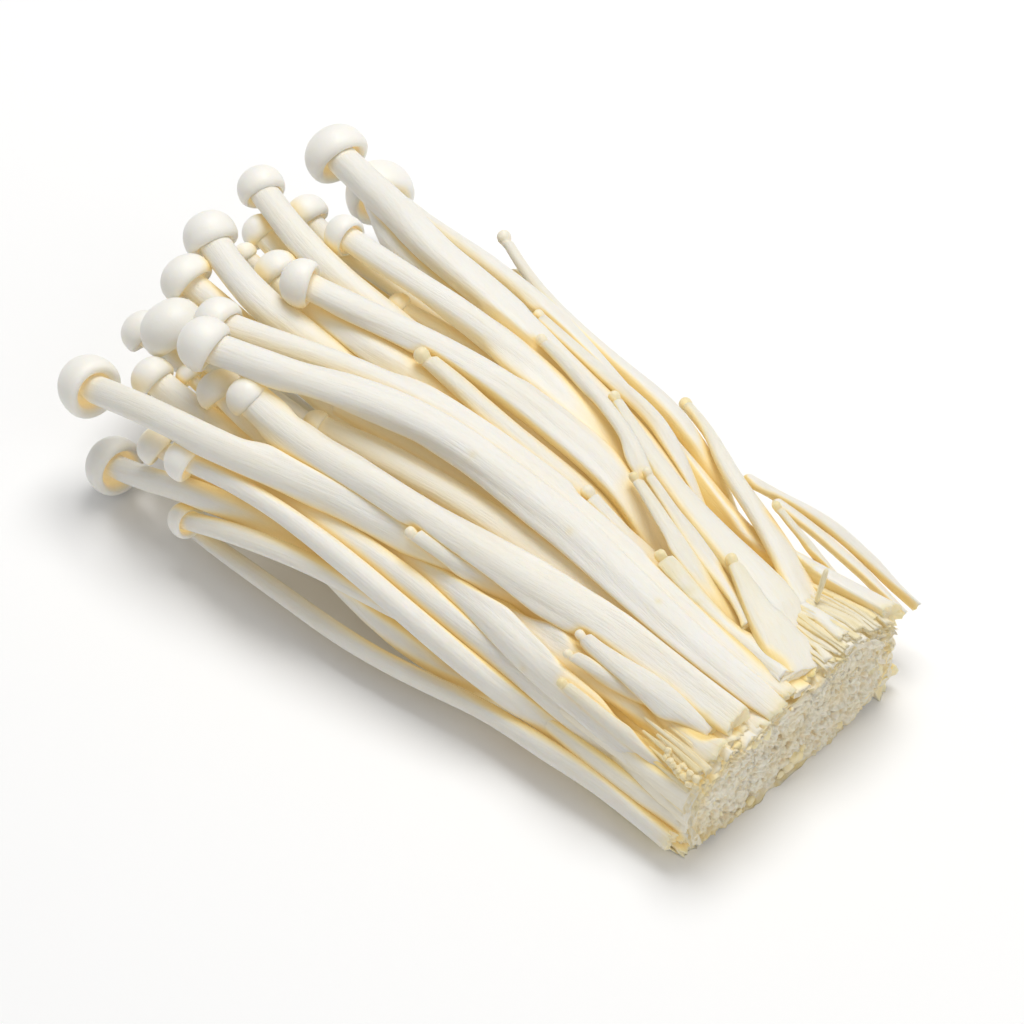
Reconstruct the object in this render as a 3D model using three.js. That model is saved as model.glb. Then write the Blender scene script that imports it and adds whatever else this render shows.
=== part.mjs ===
// Enoki mushroom cluster, lying on its side: one fused base block with its cut
// face, and the mushrooms that grow out of it, each a stem with its cap.
// Millimetres, +Z up, caps toward -X, cut face toward +X, resting on z = 0.
import * as THREE from 'three';

// ---- driving dimensions (mm) -------------------------------------------------
const SEGMENTS = 8;            // facets round a stem
const PIN_SEGMENTS = 6;        // facets round the smallest stems
const PIN_RADIUS = 1.25;       // stems thinner than this use PIN_SEGMENTS
const CAP_RISE = 0.9;          // apex height over the cap centre, x cap radius
const RIM_DROP = 0.33;         // how far the inrolled margin hangs, x cap radius
const BLOCK_FRONT = 32.7;     // where the fused base starts
const BLOCK_RIM = 53.9;       // where the base widens to the full cut section
const BLOCK_CUT = 61.4;        // the cut plane
const CORE_Y = -0.5, CORE_Z = 7.0;          // centre of the fused core's section
const CORE_HALF_W = 19.0, CORE_HALF_H = 8.5; // its half width and half height
const RIM_HALF_W = 23.6, RIM_Y = -0.5;      // section of the widened cut end
const RIM_TOP = 20.2;
const BLOCK_SIDES = 44;        // facets round the base block
const STEM_COLOUR = 0xf1ece0, CAP_COLOUR = 0xefe9d8, SLENDER_COLOUR = 0xe6d9b4, BASE_COLOUR = 0xe3d3aa;

// Every mushroom: name, cap radius (0 = a stem that tapers to a blunt tip), and
// its centreline from the base to the cap centre as [x, y, z, stem radius].
const MUSHROOMS = [
  ['mushroom_01', 4.96, [[32,12.5,15.8,1.99],[30.46,12.66,16.19,2.08],[27.72,13.72,17.41,2.27],[18.87,16.69,19.64,2.45],[9.69,18.83,21.4,2.45],[3.42,19.53,22.49,2.35],[-15.47,20.97,25.55,2.3],[-20.22,21.44,26.11,2.19],[-24.98,21.86,26.57,2.31],[-34.55,22.41,27.03,2.3],[-39.33,22.84,26.92,2.27],[-44.03,23.66,26.5,2.23],[-48.59,24.93,25.71,2.17],[-57.39,28.02,23.43,2.06],[-61.9,29.3,22.4,2.12],[-66.52,30.37,21.72,2.17],[-77.46,32.57,20.75,2.16]]],
  ['mushroom_02', 4.96, [[32,12.5,11.4,1.99],[30.43,12.57,11.45,2.05],[25.86,13.04,12.52,2.29],[12.3,14.47,16.28,2.51],[1.67,16.15,18.53,2.48],[-12.13,18.7,20.27,2.3],[-21.41,20.12,21.22,2.42],[-30.74,21.25,21.91,2.42],[-38.56,22.03,21.93,2.39],[-46.28,23.3,21.25,2.32],[-52.14,25.23,20.1,2.23],[-58.9,28.72,18.16,2.2],[-64.14,31.8,16.55,2],[-69.28,35.02,14.92,2.31]]],
  ['mushroom_03', 4.01, [[32,0.5,11.4,1.77],[30.48,0.64,11.58,1.81],[17,4.4,17.92,2.41],[11.45,5.82,20.16,2.39],[5.67,6.89,21.98,2.37],[1.21,7.35,23.06,2.35],[-4.83,7.48,24.23,2.32],[-10.89,7.18,25.24,2.29],[-29.09,5.09,27.36,2.23],[-48.91,5.24,29.95,2.16],[-55,5.82,30.57,2.14],[-59.53,6.66,30.85,2.12],[-65.47,8.25,30.82,2.04],[-71.29,10.14,30.29,2.07]]],
  ['mushroom_04', 3.47, [[32,8.5,7,1.62],[27.38,8.23,7.26,1.67],[16.6,8.46,8.15,1.73],[-0.18,9.51,10.59,1.71],[-12.24,10.54,13.14,1.69],[-28.69,12.03,17.16,1.66],[-42.11,12.96,20.72,1.63],[-54.06,13.51,23.85,1.61],[-58.59,13.78,24.8,1.61],[-64.69,14.36,25.62,1.6]]],
  ['mushroom_05', 3.25, [[32,4.5,7,1.7],[13.41,4.38,8.29,1.73],[-3.48,4.62,10.8,1.7],[-24.71,4.88,15.52,1.67],[-39.72,4.77,19.54,1.64],[-54.69,4.71,23.66,1.62],[-60.76,5.05,24.96,1.61],[-66.87,5.81,25.75,1.6]]],
  ['mushroom_06', 2.08, [[32,0.5,7,1.53],[21.01,0.6,7.59,1.57],[10.05,0.56,8.61,1.54],[-0.85,0.6,10.16,1.52],[-11.69,0.74,12.12,1.49],[-28.64,1.21,15.52,1.45],[-45.54,1.65,19.23,1.41],[-56.1,1.35,22.32,1.36],[-64.9,0.39,25.57,1.36]]],
  ['mushroom_07', 2.06, [[32,-11.5,11.4,1.36],[25.69,-12.16,11.32,1.36],[13,-12.87,11.54,1.32],[0.43,-14.35,12.61,1.25],[-13.49,-16.91,14.62,1.17],[-25.77,-19.39,16.8,1.1],[-36.5,-21.45,18.84,1.04],[-44.22,-22.52,20.37,1],[-52,-23.01,21.88,0.96]]],
  ['mushroom_08', 2.17, [[32,8.5,11.4,1.17],[28.86,8.8,10.99,1.21],[25.69,9.02,11.02,1.34],[20.97,9.41,11.5,1.54],[16.31,9.89,12.41,1.56],[8.73,10.87,14.56,1.54],[-6.13,13,19.8,1.51],[-13.68,13.52,22.22,1.49],[-18.3,13.34,23.39,1.48],[-22.94,12.77,24.31,1.47],[-36.81,9.84,26.18,1.44]]],
  ['mushroom_09', 0, [[32,16.5,11.4,1.42],[27.35,17.29,11.55,1.51],[19.5,17.57,12.04,1.55],[10.09,17.21,12.9,1.51],[0.74,16.51,14.11,1.48],[-8.46,15.87,16.15,1.38],[-14.4,15.68,18.23,1.33],[-20.29,15.39,20.45,1.38],[-26.29,14.66,22.22,1.38],[-38.58,13.18,24.6,1.33],[-46.35,12.48,25.64,1.3],[-54.12,11.39,26.41,1.28]]],
  ['mushroom_10', 3.54, [[32,4.5,11.4,1.78],[30.53,4.84,11.66,1.77],[29.58,5.66,12.55,1.74],[22.46,9.35,17.09,2.3],[16.16,12.16,20.45,2.24],[12.01,13.38,22.02,2.14],[6.13,14.26,23.57,2.15],[-7.41,15,26.26,2.15],[-20.98,14.36,28.81,2.08],[-30,13.2,30.35,2.03],[-37.56,12.16,31.22,1.99],[-43.67,11.6,31.56,1.95],[-51.35,11.39,31.54,1.92]]],
  ['mushroom_11', 4.38, [[32,-3.5,11.4,1.82],[24.32,-3.26,12.34,2.35],[13.69,-2.69,14.43,2.47],[0.22,-2.16,17.99,2.42],[-10.24,-2.37,20.87,2.38],[-20.7,-3.58,23.47,2.34],[-41.44,-7.54,28.5,2.25],[-48.99,-8.23,30.04,2.23],[-53.58,-8,30.77,2.21],[-58.14,-7.24,31.23,2.19],[-67.06,-4.64,31.16,2.16]]],
  ['mushroom_12', 4.06, [[32,-7.5,11.4,1.72],[28.94,-8.08,11.48,1.87],[24.26,-8.28,11.63,2.1],[5.57,-8.06,12.85,2.15],[-8.38,-7.99,14.46,2.1],[-20.7,-8.28,16.48,2.06],[-35.87,-9.24,20.02,2.01],[-56.52,-11.76,26.71,1.94],[-64.01,-12.59,28.74,1.92]]],
  ['mushroom_13', 3.87, [[32,-3.5,15.8,1.89],[30.47,-3.4,16.01,1.92],[17.23,-0.44,19.22,2.14],[8.3,1.27,21.14,2.13],[0.78,2.1,22.84,2.12],[-5.23,2.16,24.35,2.11],[-11.22,1.53,25.82,2.1],[-18.66,0.09,27.4,2.1],[-24.68,-1.08,28.36,2.09],[-30.8,-1.88,28.91,2.08],[-36.98,-2.22,28.9,2.07],[-43.17,-2.14,28.48,2.02],[-44.71,-2.04,28.36,1.99],[-49.32,-1.49,28.12,2.06],[-55.39,-0.28,27.8,2.08]]],
  ['mushroom_14', 3.68, [[32,4.5,15.8,1.7],[30.57,4.62,16.28,1.69],[29.63,5.01,17.42,1.77],[24.61,6.45,20.57,1.92],[17.88,8.08,23.78,1.95],[12.07,8.63,25.54,1.98],[1.62,8.31,27.75,1.96],[-8.82,7.07,29.63,1.94],[-19.21,4.96,30.94,1.89],[-22.15,4.2,31.27,1.8],[-33.68,0.48,32.8,1.93],[-45.23,-3.2,34.31,1.92]]],
  ['mushroom_15', 3.63, [[32,-7.5,7,1.69],[16.31,-8.63,7.56,1.86],[3.84,-9.85,8.92,1.82],[-8.46,-11.71,10.91,1.79],[-26.71,-15.22,14.37,1.73],[-45.03,-18.52,17.63,1.67],[-55.86,-19.92,19.17,1.62],[-66.8,-20.71,20.22,1.6]]],
  ['mushroom_16', 4.76, [[32,-11.5,15.8,1.72],[25.85,-10.57,15.77,1.86],[18.06,-10.47,15.97,1.98],[7.19,-11.3,16.53,1.98],[-5.16,-12.76,17.44,1.95],[-20.53,-14.94,18.9,1.95],[-31.26,-16.34,20.38,1.94],[-38.84,-17.4,21.83,1.93],[-52.31,-19.69,25.04,1.92],[-58.37,-20.45,26.28,1.92]]],
  ['mushroom_17', 4.01, [[52.77,-1.73,19.93,1.75],[46.42,-2.09,21.12,1.7],[37.19,-2.26,22.77,1.76],[24.85,-1.95,24.68,1.79],[12.46,-1.76,26.28,1.82],[3.17,-2.19,27.48,1.84],[-4.51,-3.09,28.56,1.85],[-16.57,-5.8,30.37,1.87],[-22.47,-7.69,31.18,1.87],[-29.75,-10.41,31.87,1.89],[-41.48,-14.72,31.9,1.9],[-50.53,-16.95,31.01,1.92]]],
  ['mushroom_18', 4.33, [[52.78,-5.55,20.79,1.73],[38.76,-6.17,23.51,1.82],[23.79,-5.73,26.29,1.88],[16.26,-5.72,27.41,1.91],[4.22,-6.59,29.06,1.96],[-4.72,-7.84,30.52,1.99],[-9.11,-8.87,31.23,2.01],[-14.82,-10.81,32.08,2.03],[-32.66,-19.13,34.14,2.08],[-36.89,-20.86,34.34,2.02],[-38.31,-21.4,34.33,2.07],[-45.6,-23.57,33.96,2.15]]],
  ['mushroom_19', 3.44, [[32,-15.5,7,1.99],[20.98,-15.98,7.64,1.99],[10,-16.76,8.57,1.98],[0.63,-17.7,9.61,1.97],[-8.66,-18.94,10.95,1.96],[-17.75,-20.64,12.95,1.92],[-32.41,-24.24,17.6,1.94],[-38.36,-25.59,19.18,1.92],[-42.91,-26.48,20.18,1.84],[-45.96,-26.95,20.83,1.88],[-55.2,-27.93,22.68,1.92]]],
  ['mushroom_20', 5.18, [[32,-15.5,15.8,1.84],[28.91,-15.1,15.92,1.77],[25.81,-14.84,16.32,1.72],[24.27,-14.81,16.58,1.76],[21.22,-14.99,17.25,1.85],[16.78,-15.85,18.5,1.83],[12.49,-17.24,19.79,1.73],[5.33,-19.84,21.6,1.92],[-12.23,-25.53,25.04,2.03],[-22.38,-29.41,26.41,2.02],[-31.27,-32.37,27.07,1.99],[-40.41,-34.48,27.09,1.95],[-48.09,-35.64,26.17,1.95],[-54.14,-36.19,24.69,1.94],[-61.46,-36.18,21.94,1.92]]],
  ['mushroom_21', 3.62, [[32,-15.5,11.4,1.68],[14.74,-15.77,13.21,1.72],[5.4,-15.78,14.77,1.7],[-0.78,-16.12,16.06,1.65],[-8.32,-17.5,17.89,1.64],[-21.52,-21.6,21.19,1.64],[-27.53,-22.99,22.53,1.63],[-35.24,-23.77,23.99,1.59],[-43.02,-23.68,25.36,1.6]]],
  ['mushroom_22', 3.38, [[52.72,-12.17,19.92,1.84],[40.3,-12.91,21.6,1.96],[32.55,-13.8,22.67,1.97],[12.61,-17.65,25.25,1.88],[-4.34,-20.6,27.33,2.04],[-18.25,-23.18,28.31,2.11],[-26.06,-23.96,28.86,2.13],[-35.48,-23.84,29.54,2.15]]],
  ['mushroom_23', 2.26, [[52.78,-8.43,18.22,1.7],[34.53,-9.47,20.63,1.71],[18.87,-10.54,22.19,1.68],[4.77,-11.45,23.53,1.66],[-7.61,-13.57,24.64,1.63],[-25.93,-18.06,26.27,1.6]]],
  ['mushroom_24', 0, [[32,-7.5,15.8,1.58],[30.46,-7.42,16,1.58],[21.72,-6.03,18.94,1.72],[14.1,-5.84,20.46,1.71],[-5.86,-8.33,22.68,1.65],[-27.16,-12.01,25.5,1.6]]],
  ['mushroom_25', 3.07, [[32,-19.5,7,1.59],[14.86,-20.71,7.91,1.56],[-0.51,-23.01,9.6,1.53],[-12.59,-25.66,11.53,1.51],[-24.5,-28.78,13.8,1.48],[-36.37,-32.04,16.02,1.41],[-46.91,-34.51,17.66,1.44]]],
  ['mushroom_26', 3.36, [[52.7,-22.46,2.66,1.98],[44.12,-22.87,4.72,1.91],[38.24,-23.47,6.75,1.76],[33.99,-24.38,8.53,1.67],[24.21,-27.35,12.46,1.85],[16.91,-28.79,14.87,1.82],[3.39,-30.36,18.48,1.76],[-8.73,-31.66,21.35,1.68],[-16.4,-32.54,22.59,1.64],[-22.6,-33.29,22.99,1.63],[-30.34,-34.34,22.69,1.63],[-38.02,-35.48,21.65,1.6]]],
  ['mushroom_27', 0, [[52.74,-21.53,10.28,1.79],[39.77,-22.72,12.81,1.79],[27.59,-24.04,15.25,1.76],[13.82,-25.63,17.6,1.62],[7.7,-26.24,18.72,1.65],[-3.09,-27.19,20.12,1.67],[-16.96,-29.34,20.86,1.61],[-26.23,-30.68,20.8,1.62],[-32.45,-30.86,20.24,1.61],[-37.08,-30.67,19.55,1.56],[-41.7,-30.46,18.79,1.59]]],
  ['mushroom_28', 0, [[52.78,-20.91,14.15,1.72],[33.57,-23.2,18.19,1.63],[27.34,-23.47,19.22,1.61],[22.63,-23.35,19.68,1.61],[13.17,-22.76,19.69,1.56],[3.73,-22.8,18.89,1.53],[-4.12,-23.5,18.38,1.61],[-19.78,-25.53,17.66,1.6]]],
  ['mushroom_29', 0, [[52.73,-17.44,16.22,1.85],[34.85,-19.21,18.57,1.64],[28.49,-19.69,18.9,1.31],[26.89,-19.76,18.83,1.25],[23.71,-19.83,18.56,1.33],[12.62,-19.64,17.05,1.49],[4.64,-19.55,16.65,1.76],[-3.31,-20.25,16.36,1.73],[-14.37,-21.83,15.75,1.71]]],
  ['mushroom_30', 4.68, [[32,-19.5,2.6,1.84],[30.46,-19.74,2.68,1.84],[29.18,-20.58,2.98,1.84],[19.36,-24.94,4.84,1.86],[10.67,-27.66,6.93,1.79],[0.4,-29.57,10.03,1.89],[-11.44,-30.16,13.91,1.91],[-15.94,-30.61,15.09,1.92],[-21.96,-31.88,16.07,1.93],[-27.93,-33.62,16.35,1.92],[-35.43,-35.61,15.68,1.86],[-38.42,-36.17,14.99,1.82],[-41.35,-36.57,14.03,1.9],[-48.4,-36.79,10.74,1.98],[-57.98,-35.86,5.61,2]]],
  ['mushroom_31', 3.06, [[32,-19.5,11.4,1.91],[30.48,-19.64,11.42,1.93],[17.3,-23.46,12.4,1.93],[7.33,-27.08,13.85,1.88],[-6.79,-32.22,16.68,1.81],[-11.11,-33.65,17.22,1.79],[-15.5,-34.98,17.33,1.77],[-21.4,-36.44,16.66,1.75],[-25.77,-37.21,15.52,1.72],[-31.38,-37.71,13.17,1.69],[-36.74,-37.69,10.21,1.68]]],
  ['mushroom_32', 0, [[52.74,-25.6,5.75,1.82],[44.34,-26.42,6.94,1.76],[38.1,-27.29,7.32,1.6],[33.39,-27.81,7.28,1.55],[22.41,-28.93,6.86,1.72],[13.17,-30.98,6.47,1.62],[8.55,-31.99,6.3,1.64],[0.78,-33.35,6.12,1.65],[-16.49,-35.1,6.53,1.6],[-29.09,-35.77,6.26,1.56],[-35.36,-35.64,5.55,1.54],[-43.15,-35.05,4.43,1.52]]],
  ['slender_mushroom_01', 1.54, [[32,20.5,11.4,1.91],[30.45,20.75,11.54,1.9],[25.16,23.54,13.55,1.84],[18.49,26.35,16.7,1.53],[14.23,27.58,18.35,1.27],[9.73,28.58,19.46,1.47],[3.52,29.4,20.18,1.52],[-9.08,30.06,21.03,1.34],[-15.35,30.82,21.16,1.25],[-19.97,31.8,20.86,1.18],[-29,34.48,19.86,1.04],[-33.56,35.76,19.98,0.97],[-41.06,38.06,20.9,0.88]]],
  ['mushroom_33', 0, [[32,20.5,15.8,1.86],[30.43,20.58,15.92,1.86],[9.07,23.53,20.48,1.84],[-1.69,25.09,22.28,1.79],[-17.12,27.74,23.91,1.72],[-28.09,28.71,24.26,1.71],[-37.49,29.46,23.7,1.68],[-45.18,30.45,22.33,1.66],[-52.55,32.03,20.1,1.63],[-62.46,35.18,16.44,1.36]]],
  ['slender_mushroom_02', 1.16, [[32,16.5,15.8,1.1],[30.45,16.76,16.06,1.1],[29.25,17.4,16.9,1.1],[25.1,18.72,18.92,1.1],[19.43,20.57,21.23,1.08],[15.02,21.94,22.54,1.05],[10.46,23.02,23.54,1.01],[5.76,23.58,24.32,0.98],[-2.2,23.77,25.07,0.91],[-8.59,24.03,25.19,0.87],[-19.75,25.03,25.08,0.8]]],
  ['slender_mushroom_03', 1.2, [[32,8.5,15.8,1.21],[30.49,8.51,16.12,1.21],[29.43,8.79,17.22,1.21],[23.4,10.31,21.85,1.1],[19.65,11.23,24.45,1.03],[17.04,12.16,25.84,1.02],[14.34,13.28,26.86,1.02],[8.56,15.26,27.9,0.97],[4.07,16.45,28.21,0.82],[1.06,17.2,28.22,0.85],[-5.03,18.36,28.18,0.86],[-12.75,18.93,28.63,0.8]]],
  ['slender_mushroom_04', 1.69, [[32,0.5,15.8,1.55],[30.48,0.64,16.11,1.54],[29.28,1.04,17.03,1.57],[22.34,2.38,20.34,1.6],[18.03,2.86,22.1,1.54],[15.08,2.97,23.11,1.49],[7.56,2.65,25.18,1.39],[-12.16,1.42,29.8,1.14],[-21.2,0.48,32.03,1.04]]],
  ['slender_mushroom_05', 1.22, [[52.57,9.27,19.13,2.45],[47.83,10.51,19.94,2.28],[41.73,11.59,20.83,2.06],[26.32,13.03,23.03,1.53],[17.12,14.28,24.3,1.15],[11.1,15.57,25.37,0.96],[3.68,17.88,26.26,0.8]]],
  ['slender_mushroom_06', 1.44, [[52.15,14.1,17.24,2.18],[39.43,20.07,18.45,1.84],[27.66,24.21,19.63,1.51],[21.83,26.48,19.89,1.31],[17.62,28.56,19.71,1.02],[14.83,29.92,19.27,0.9],[6.31,33.33,17.23,0.96]]],
  ['slender_mushroom_07', 1.06, [[47.28,2.87,20.37,0.84],[38.25,3.94,23.65,0.79],[32.11,4.83,25.4,0.74],[25.93,6.23,26.58,0.69],[18.26,8.5,27.58,0.64]]],
  ['slender_mushroom_08', 0.9, [[48.14,3.09,22.6,0.83],[39.55,6.42,23.51,0.76],[35.14,7.71,24.07,0.72],[27.69,9.22,25.31,0.64],[18.81,10.86,27.35,0.56]]],
  ['slender_mushroom_09', 1.42, [[47.26,0.75,18.79,1.32],[38.35,0.6,20.72,1.19],[29.42,0.81,22.5,1.06],[14.79,1.84,26.45,0.88]]],
  ['slender_mushroom_10', 1.1, [[32,-19.5,15.8,1.11],[30.42,-19.25,15.77,1.06],[29.08,-18.5,16.26,0.99],[26.3,-17.6,17.61,0.89],[23.48,-17.17,19.1,0.92],[20.54,-17.37,20.4,1],[17.55,-18.04,21.38,1.03],[7.19,-21.47,24.18,0.88],[1.27,-23.11,26.12,0.8]]],
  ['slender_mushroom_11', 0.95, [[52.8,-16.16,20.86,1.38],[47.84,-16.81,21.83,1.12],[43.17,-17.32,22.34,0.95],[38.45,-17.48,22.54,0.82],[32.16,-17.19,22.83,0.64]]],
  ['slender_mushroom_12', 0.96, [[52.96,-14.68,17.93,0.94],[48.97,-15.88,19.06,0.86],[43.27,-17.87,20.27,0.76],[33.03,-20.73,22.1,0.64]]],
  ['slender_mushroom_13', 1, [[52.99,-22.64,16.63,0.83],[42.56,-23.49,18.97,0.76],[35.42,-24.34,20.62,0.72]]],
  ['slender_mushroom_14', 0.92, [[52.94,25.24,13.69,0.99],[41.1,24.5,17.86,0.75],[34.03,24.58,20.9,0.64]]],
  ['slender_mushroom_15', 1.12, [[52.65,4.79,21.3,1.81],[45.37,6.72,22.08,1.27],[38.21,9.18,23.38,0.8]]],
  ['slender_mushroom_16', 1.5, [[52.92,0.54,22.23,1.01],[40.38,0.57,23.44,0.89],[30.9,1.3,25.13,0.8]]],
  ['slender_mushroom_17', 0, [[58,32.85,10.83,1.11],[54.71,32.15,12.3,1.1],[51.02,31.73,13.64,1.09],[46.01,31.53,15.21,1.09],[40.9,31.27,16.43,1.07],[37.06,30.6,17.02,1.06],[25.72,27.51,18.33,1.01]]],
  ['slender_mushroom_18', 0, [[58,29.95,11.24,1.19],[53.09,29.32,12.76,1.15],[41.43,28.56,15.83,1.09],[37.59,27.97,16.86,1.06],[32.55,26.83,18.32,1.04]]],
  ['mushroom_34', 4.22, [[32,8.5,2.6,1.79],[28.82,8.88,2.62,1.98],[9.61,8.8,2.88,2.12],[-8,8.79,3.32,2.07],[-25.6,9.11,3.84,2.01],[-43.2,9.56,4.22,1.95],[-64.01,9.24,4.42,1.9]]],
  ['mushroom_35', 4.42, [[32,12.5,7,1.79],[25.6,12.44,6.85,2.05],[12.8,13.09,7.24,2.14],[-11.1,15.33,8.49,2.06],[-34.99,17.69,9.75,1.99],[-50.97,18.71,10.32,1.94],[-66.98,19.38,10.7,1.9]]],
  ['mushroom_36', 4.03, [[32,16.5,7,1.79],[19.25,17.8,7.44,2.15],[9.74,19.12,7.96,2.12],[0.31,20.9,8.67,2.09],[-15.26,24.46,10.1,2.03],[-29.33,27.43,11.28,1.99],[-40.4,29.18,11.89,1.95],[-56.31,31.1,12.33,1.9]]],
  ['mushroom_37', 4.03, [[32,-11.5,2.6,2.19],[12.86,-13.39,2.89,2.12],[-6.08,-16.74,3.39,2.05],[-23.43,-19.91,3.86,1.99],[-36.15,-21.59,4.09,1.94],[-48.91,-22.88,4.24,1.9]]],
  ['mushroom_38', 4.42, [[32,-3.5,7,1.89],[25.58,-3.56,6.85,2.11],[12.74,-4.21,7.43,2.13],[-11.19,-6.49,9.36,2.06],[-35.11,-8.86,11.33,1.99],[-49.53,-9.77,12.17,1.94],[-63.97,-10.4,12.8,1.9]]],
  ['mushroom_39', 4.03, [[32,20.5,2.6,2.03],[14.43,22.14,2.8,2.13],[-4.58,25.24,3.39,2.05],[-21.99,28.18,3.88,1.99],[-34.73,29.75,4.11,1.94],[-45.92,30.85,4.25,1.9]]],
  ['mushroom_40', 3.82, [[32,4.5,2.6,1.79],[28.85,4.11,2.63,1.98],[3.5,4.16,3.15,2.08],[-20.27,4.08,3.79,1.99],[-32.94,3.81,4,1.94],[-44.03,3.42,4.14,1.9]]],
  ['mushroom_41', 3.46, [[32,20.5,7,1.79],[10.36,24.92,8.83,2.1],[-3.36,28.42,10.57,2.04],[-17.1,31.85,12.28,1.98],[-35.7,35.36,14.1,1.9]]],
];

// ---- helpers -------------------------------------------------------------------
const v3 = (p) => new THREE.Vector3(p[0], p[1], p[2]);

// Frames carried along the centreline without twist, so that facets stay aligned.
function frames(points) {
  const n = points.length;
  const tangents = points.map((p, i) => {
    const a = points[Math.max(0, i - 1)], b = points[Math.min(n - 1, i + 1)];
    return b.clone().sub(a).normalize();
  });
  let normal = new THREE.Vector3(0, 0, 1);
  normal.sub(tangents[0].clone().multiplyScalar(normal.dot(tangents[0]))).normalize();
  const out = [];
  for (let i = 0; i < n; i++) {
    const t = tangents[i];
    if (i > 0) {
      const q = new THREE.Quaternion().setFromUnitVectors(tangents[i - 1], t);
      normal = normal.clone().applyQuaternion(q);
      normal.sub(t.clone().multiplyScalar(normal.dot(t))).normalize();
    }
    out.push({ t, n: normal.clone(), b: new THREE.Vector3().crossVectors(t, normal) });
  }
  return out;
}

// One mushroom: a turned profile (base, stem, gills recess, inrolled margin, dome)
// revolved as a lathe, then laid along its centreline.
function mushroom(capRadius, rows) {
  const pts = rows.map(v3);
  const fr = frames(pts);
  const last = pts.length - 1;
  const profile = [];   // [radius, ring index, offset along the last tangent]
  profile.push([0, 0, 0]);
  const stemLast = capRadius > 0 ? last - 1 : last;
  for (let i = 0; i <= stemLast; i++) profile.push([rows[i][3], i, 0]);
  if (capRadius > 0) {
    const R = capRadius, r = Math.min(rows[last][3], R * 0.62);
    profile.push([r, last, -0.12 * R]);
    profile.push([Math.max(R * 0.7, r + 0.12), last, -0.14 * R]);
    profile.push([R * 0.86, last, -RIM_DROP * R]);
    profile.push([R * 0.985, last, -0.1 * R]);
    profile.push([R * 0.95, last, 0.26 * R]);
    profile.push([R * 0.72, last, 0.62 * R]);
    profile.push([R * 0.38, last, 0.83 * R]);
    profile.push([0, last, CAP_RISE * R]);
  } else {
    const r = rows[last][3];
    profile.push([r * 0.72, last, 0.5 * r]);
    profile.push([0, last, 0.75 * r]);
  }
  const maxR = Math.max(capRadius, ...rows.map((p) => p[3]));
  const seg = maxR < PIN_RADIUS ? PIN_SEGMENTS : SEGMENTS;
  const lathe = new THREE.LatheGeometry(profile.map((p, i) => new THREE.Vector2(p[0], i)), seg);
  const pos = lathe.attributes.position;
  const P = new THREE.Vector3();
  for (let k = 0; k < pos.count; k++) {
    const row = Math.round(pos.getY(k));
    const [, ring, along] = profile[row];
    const f = fr[ring];
    P.copy(pts[ring])
      .addScaledVector(f.t, along)
      .addScaledVector(f.n, pos.getX(k))
      .addScaledVector(f.b, pos.getZ(k));
    pos.setXYZ(k, P.x, P.y, P.z);
  }
  return outward(closed(lathe));
}

// Weld by position and drop the collapsed facets at the poles.
function closed(geometry) {
  const pos = geometry.attributes.position, idx = geometry.index;
  const map = new Map(), verts = [], remap = [];
  for (let i = 0; i < pos.count; i++) {
    const key = [pos.getX(i), pos.getY(i), pos.getZ(i)].map((c) => Math.round(c * 1e4)).join(',');
    if (!map.has(key)) { map.set(key, verts.length / 3); verts.push(pos.getX(i), pos.getY(i), pos.getZ(i)); }
    remap.push(map.get(key));
  }
  const tris = [];
  for (let i = 0; i < idx.count; i += 3) {
    const a = remap[idx.getX(i)], b = remap[idx.getX(i + 1)], c = remap[idx.getX(i + 2)];
    if (a !== b && b !== c && a !== c) tris.push(a, b, c);
  }
  const g = new THREE.BufferGeometry();
  g.setAttribute('position', new THREE.Float32BufferAttribute(verts, 3));
  g.setIndex(tris);
  return g;
}

// Turn the faces outward (positive enclosed volume).
function outward(g) {
  const p = g.attributes.position, ix = g.index.array;
  let vol = 0;
  const a = new THREE.Vector3(), b = new THREE.Vector3(), c = new THREE.Vector3();
  for (let i = 0; i < ix.length; i += 3) {
    a.fromBufferAttribute(p, ix[i]); b.fromBufferAttribute(p, ix[i + 1]); c.fromBufferAttribute(p, ix[i + 2]);
    vol += a.dot(b.cross(c));
  }
  if (vol < 0) for (let i = 0; i < ix.length; i += 3) { const t = ix[i + 1]; ix[i + 1] = ix[i + 2]; ix[i + 2] = t; }
  g.computeVertexNormals();
  return g;
}

// Repeatable small irregularity.
const wobble = (i, j) => { const s = Math.sin(i * 12.9898 + j * 78.233) * 43758.5453; return s - Math.floor(s) - 0.5; };

// Section of the fused core and of the widened cut end at angle a, as [y, z].
function section(a, cy, cz, hw, hh, power) {
  const c = Math.cos(a), s = Math.sin(a);
  const y = cy + hw * Math.sign(c) * Math.pow(Math.abs(c), 2 / power);
  const z = cz + hh * Math.sign(s) * Math.pow(Math.abs(s), 2 / power);
  return [y, Math.max(0, z)];
}

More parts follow.
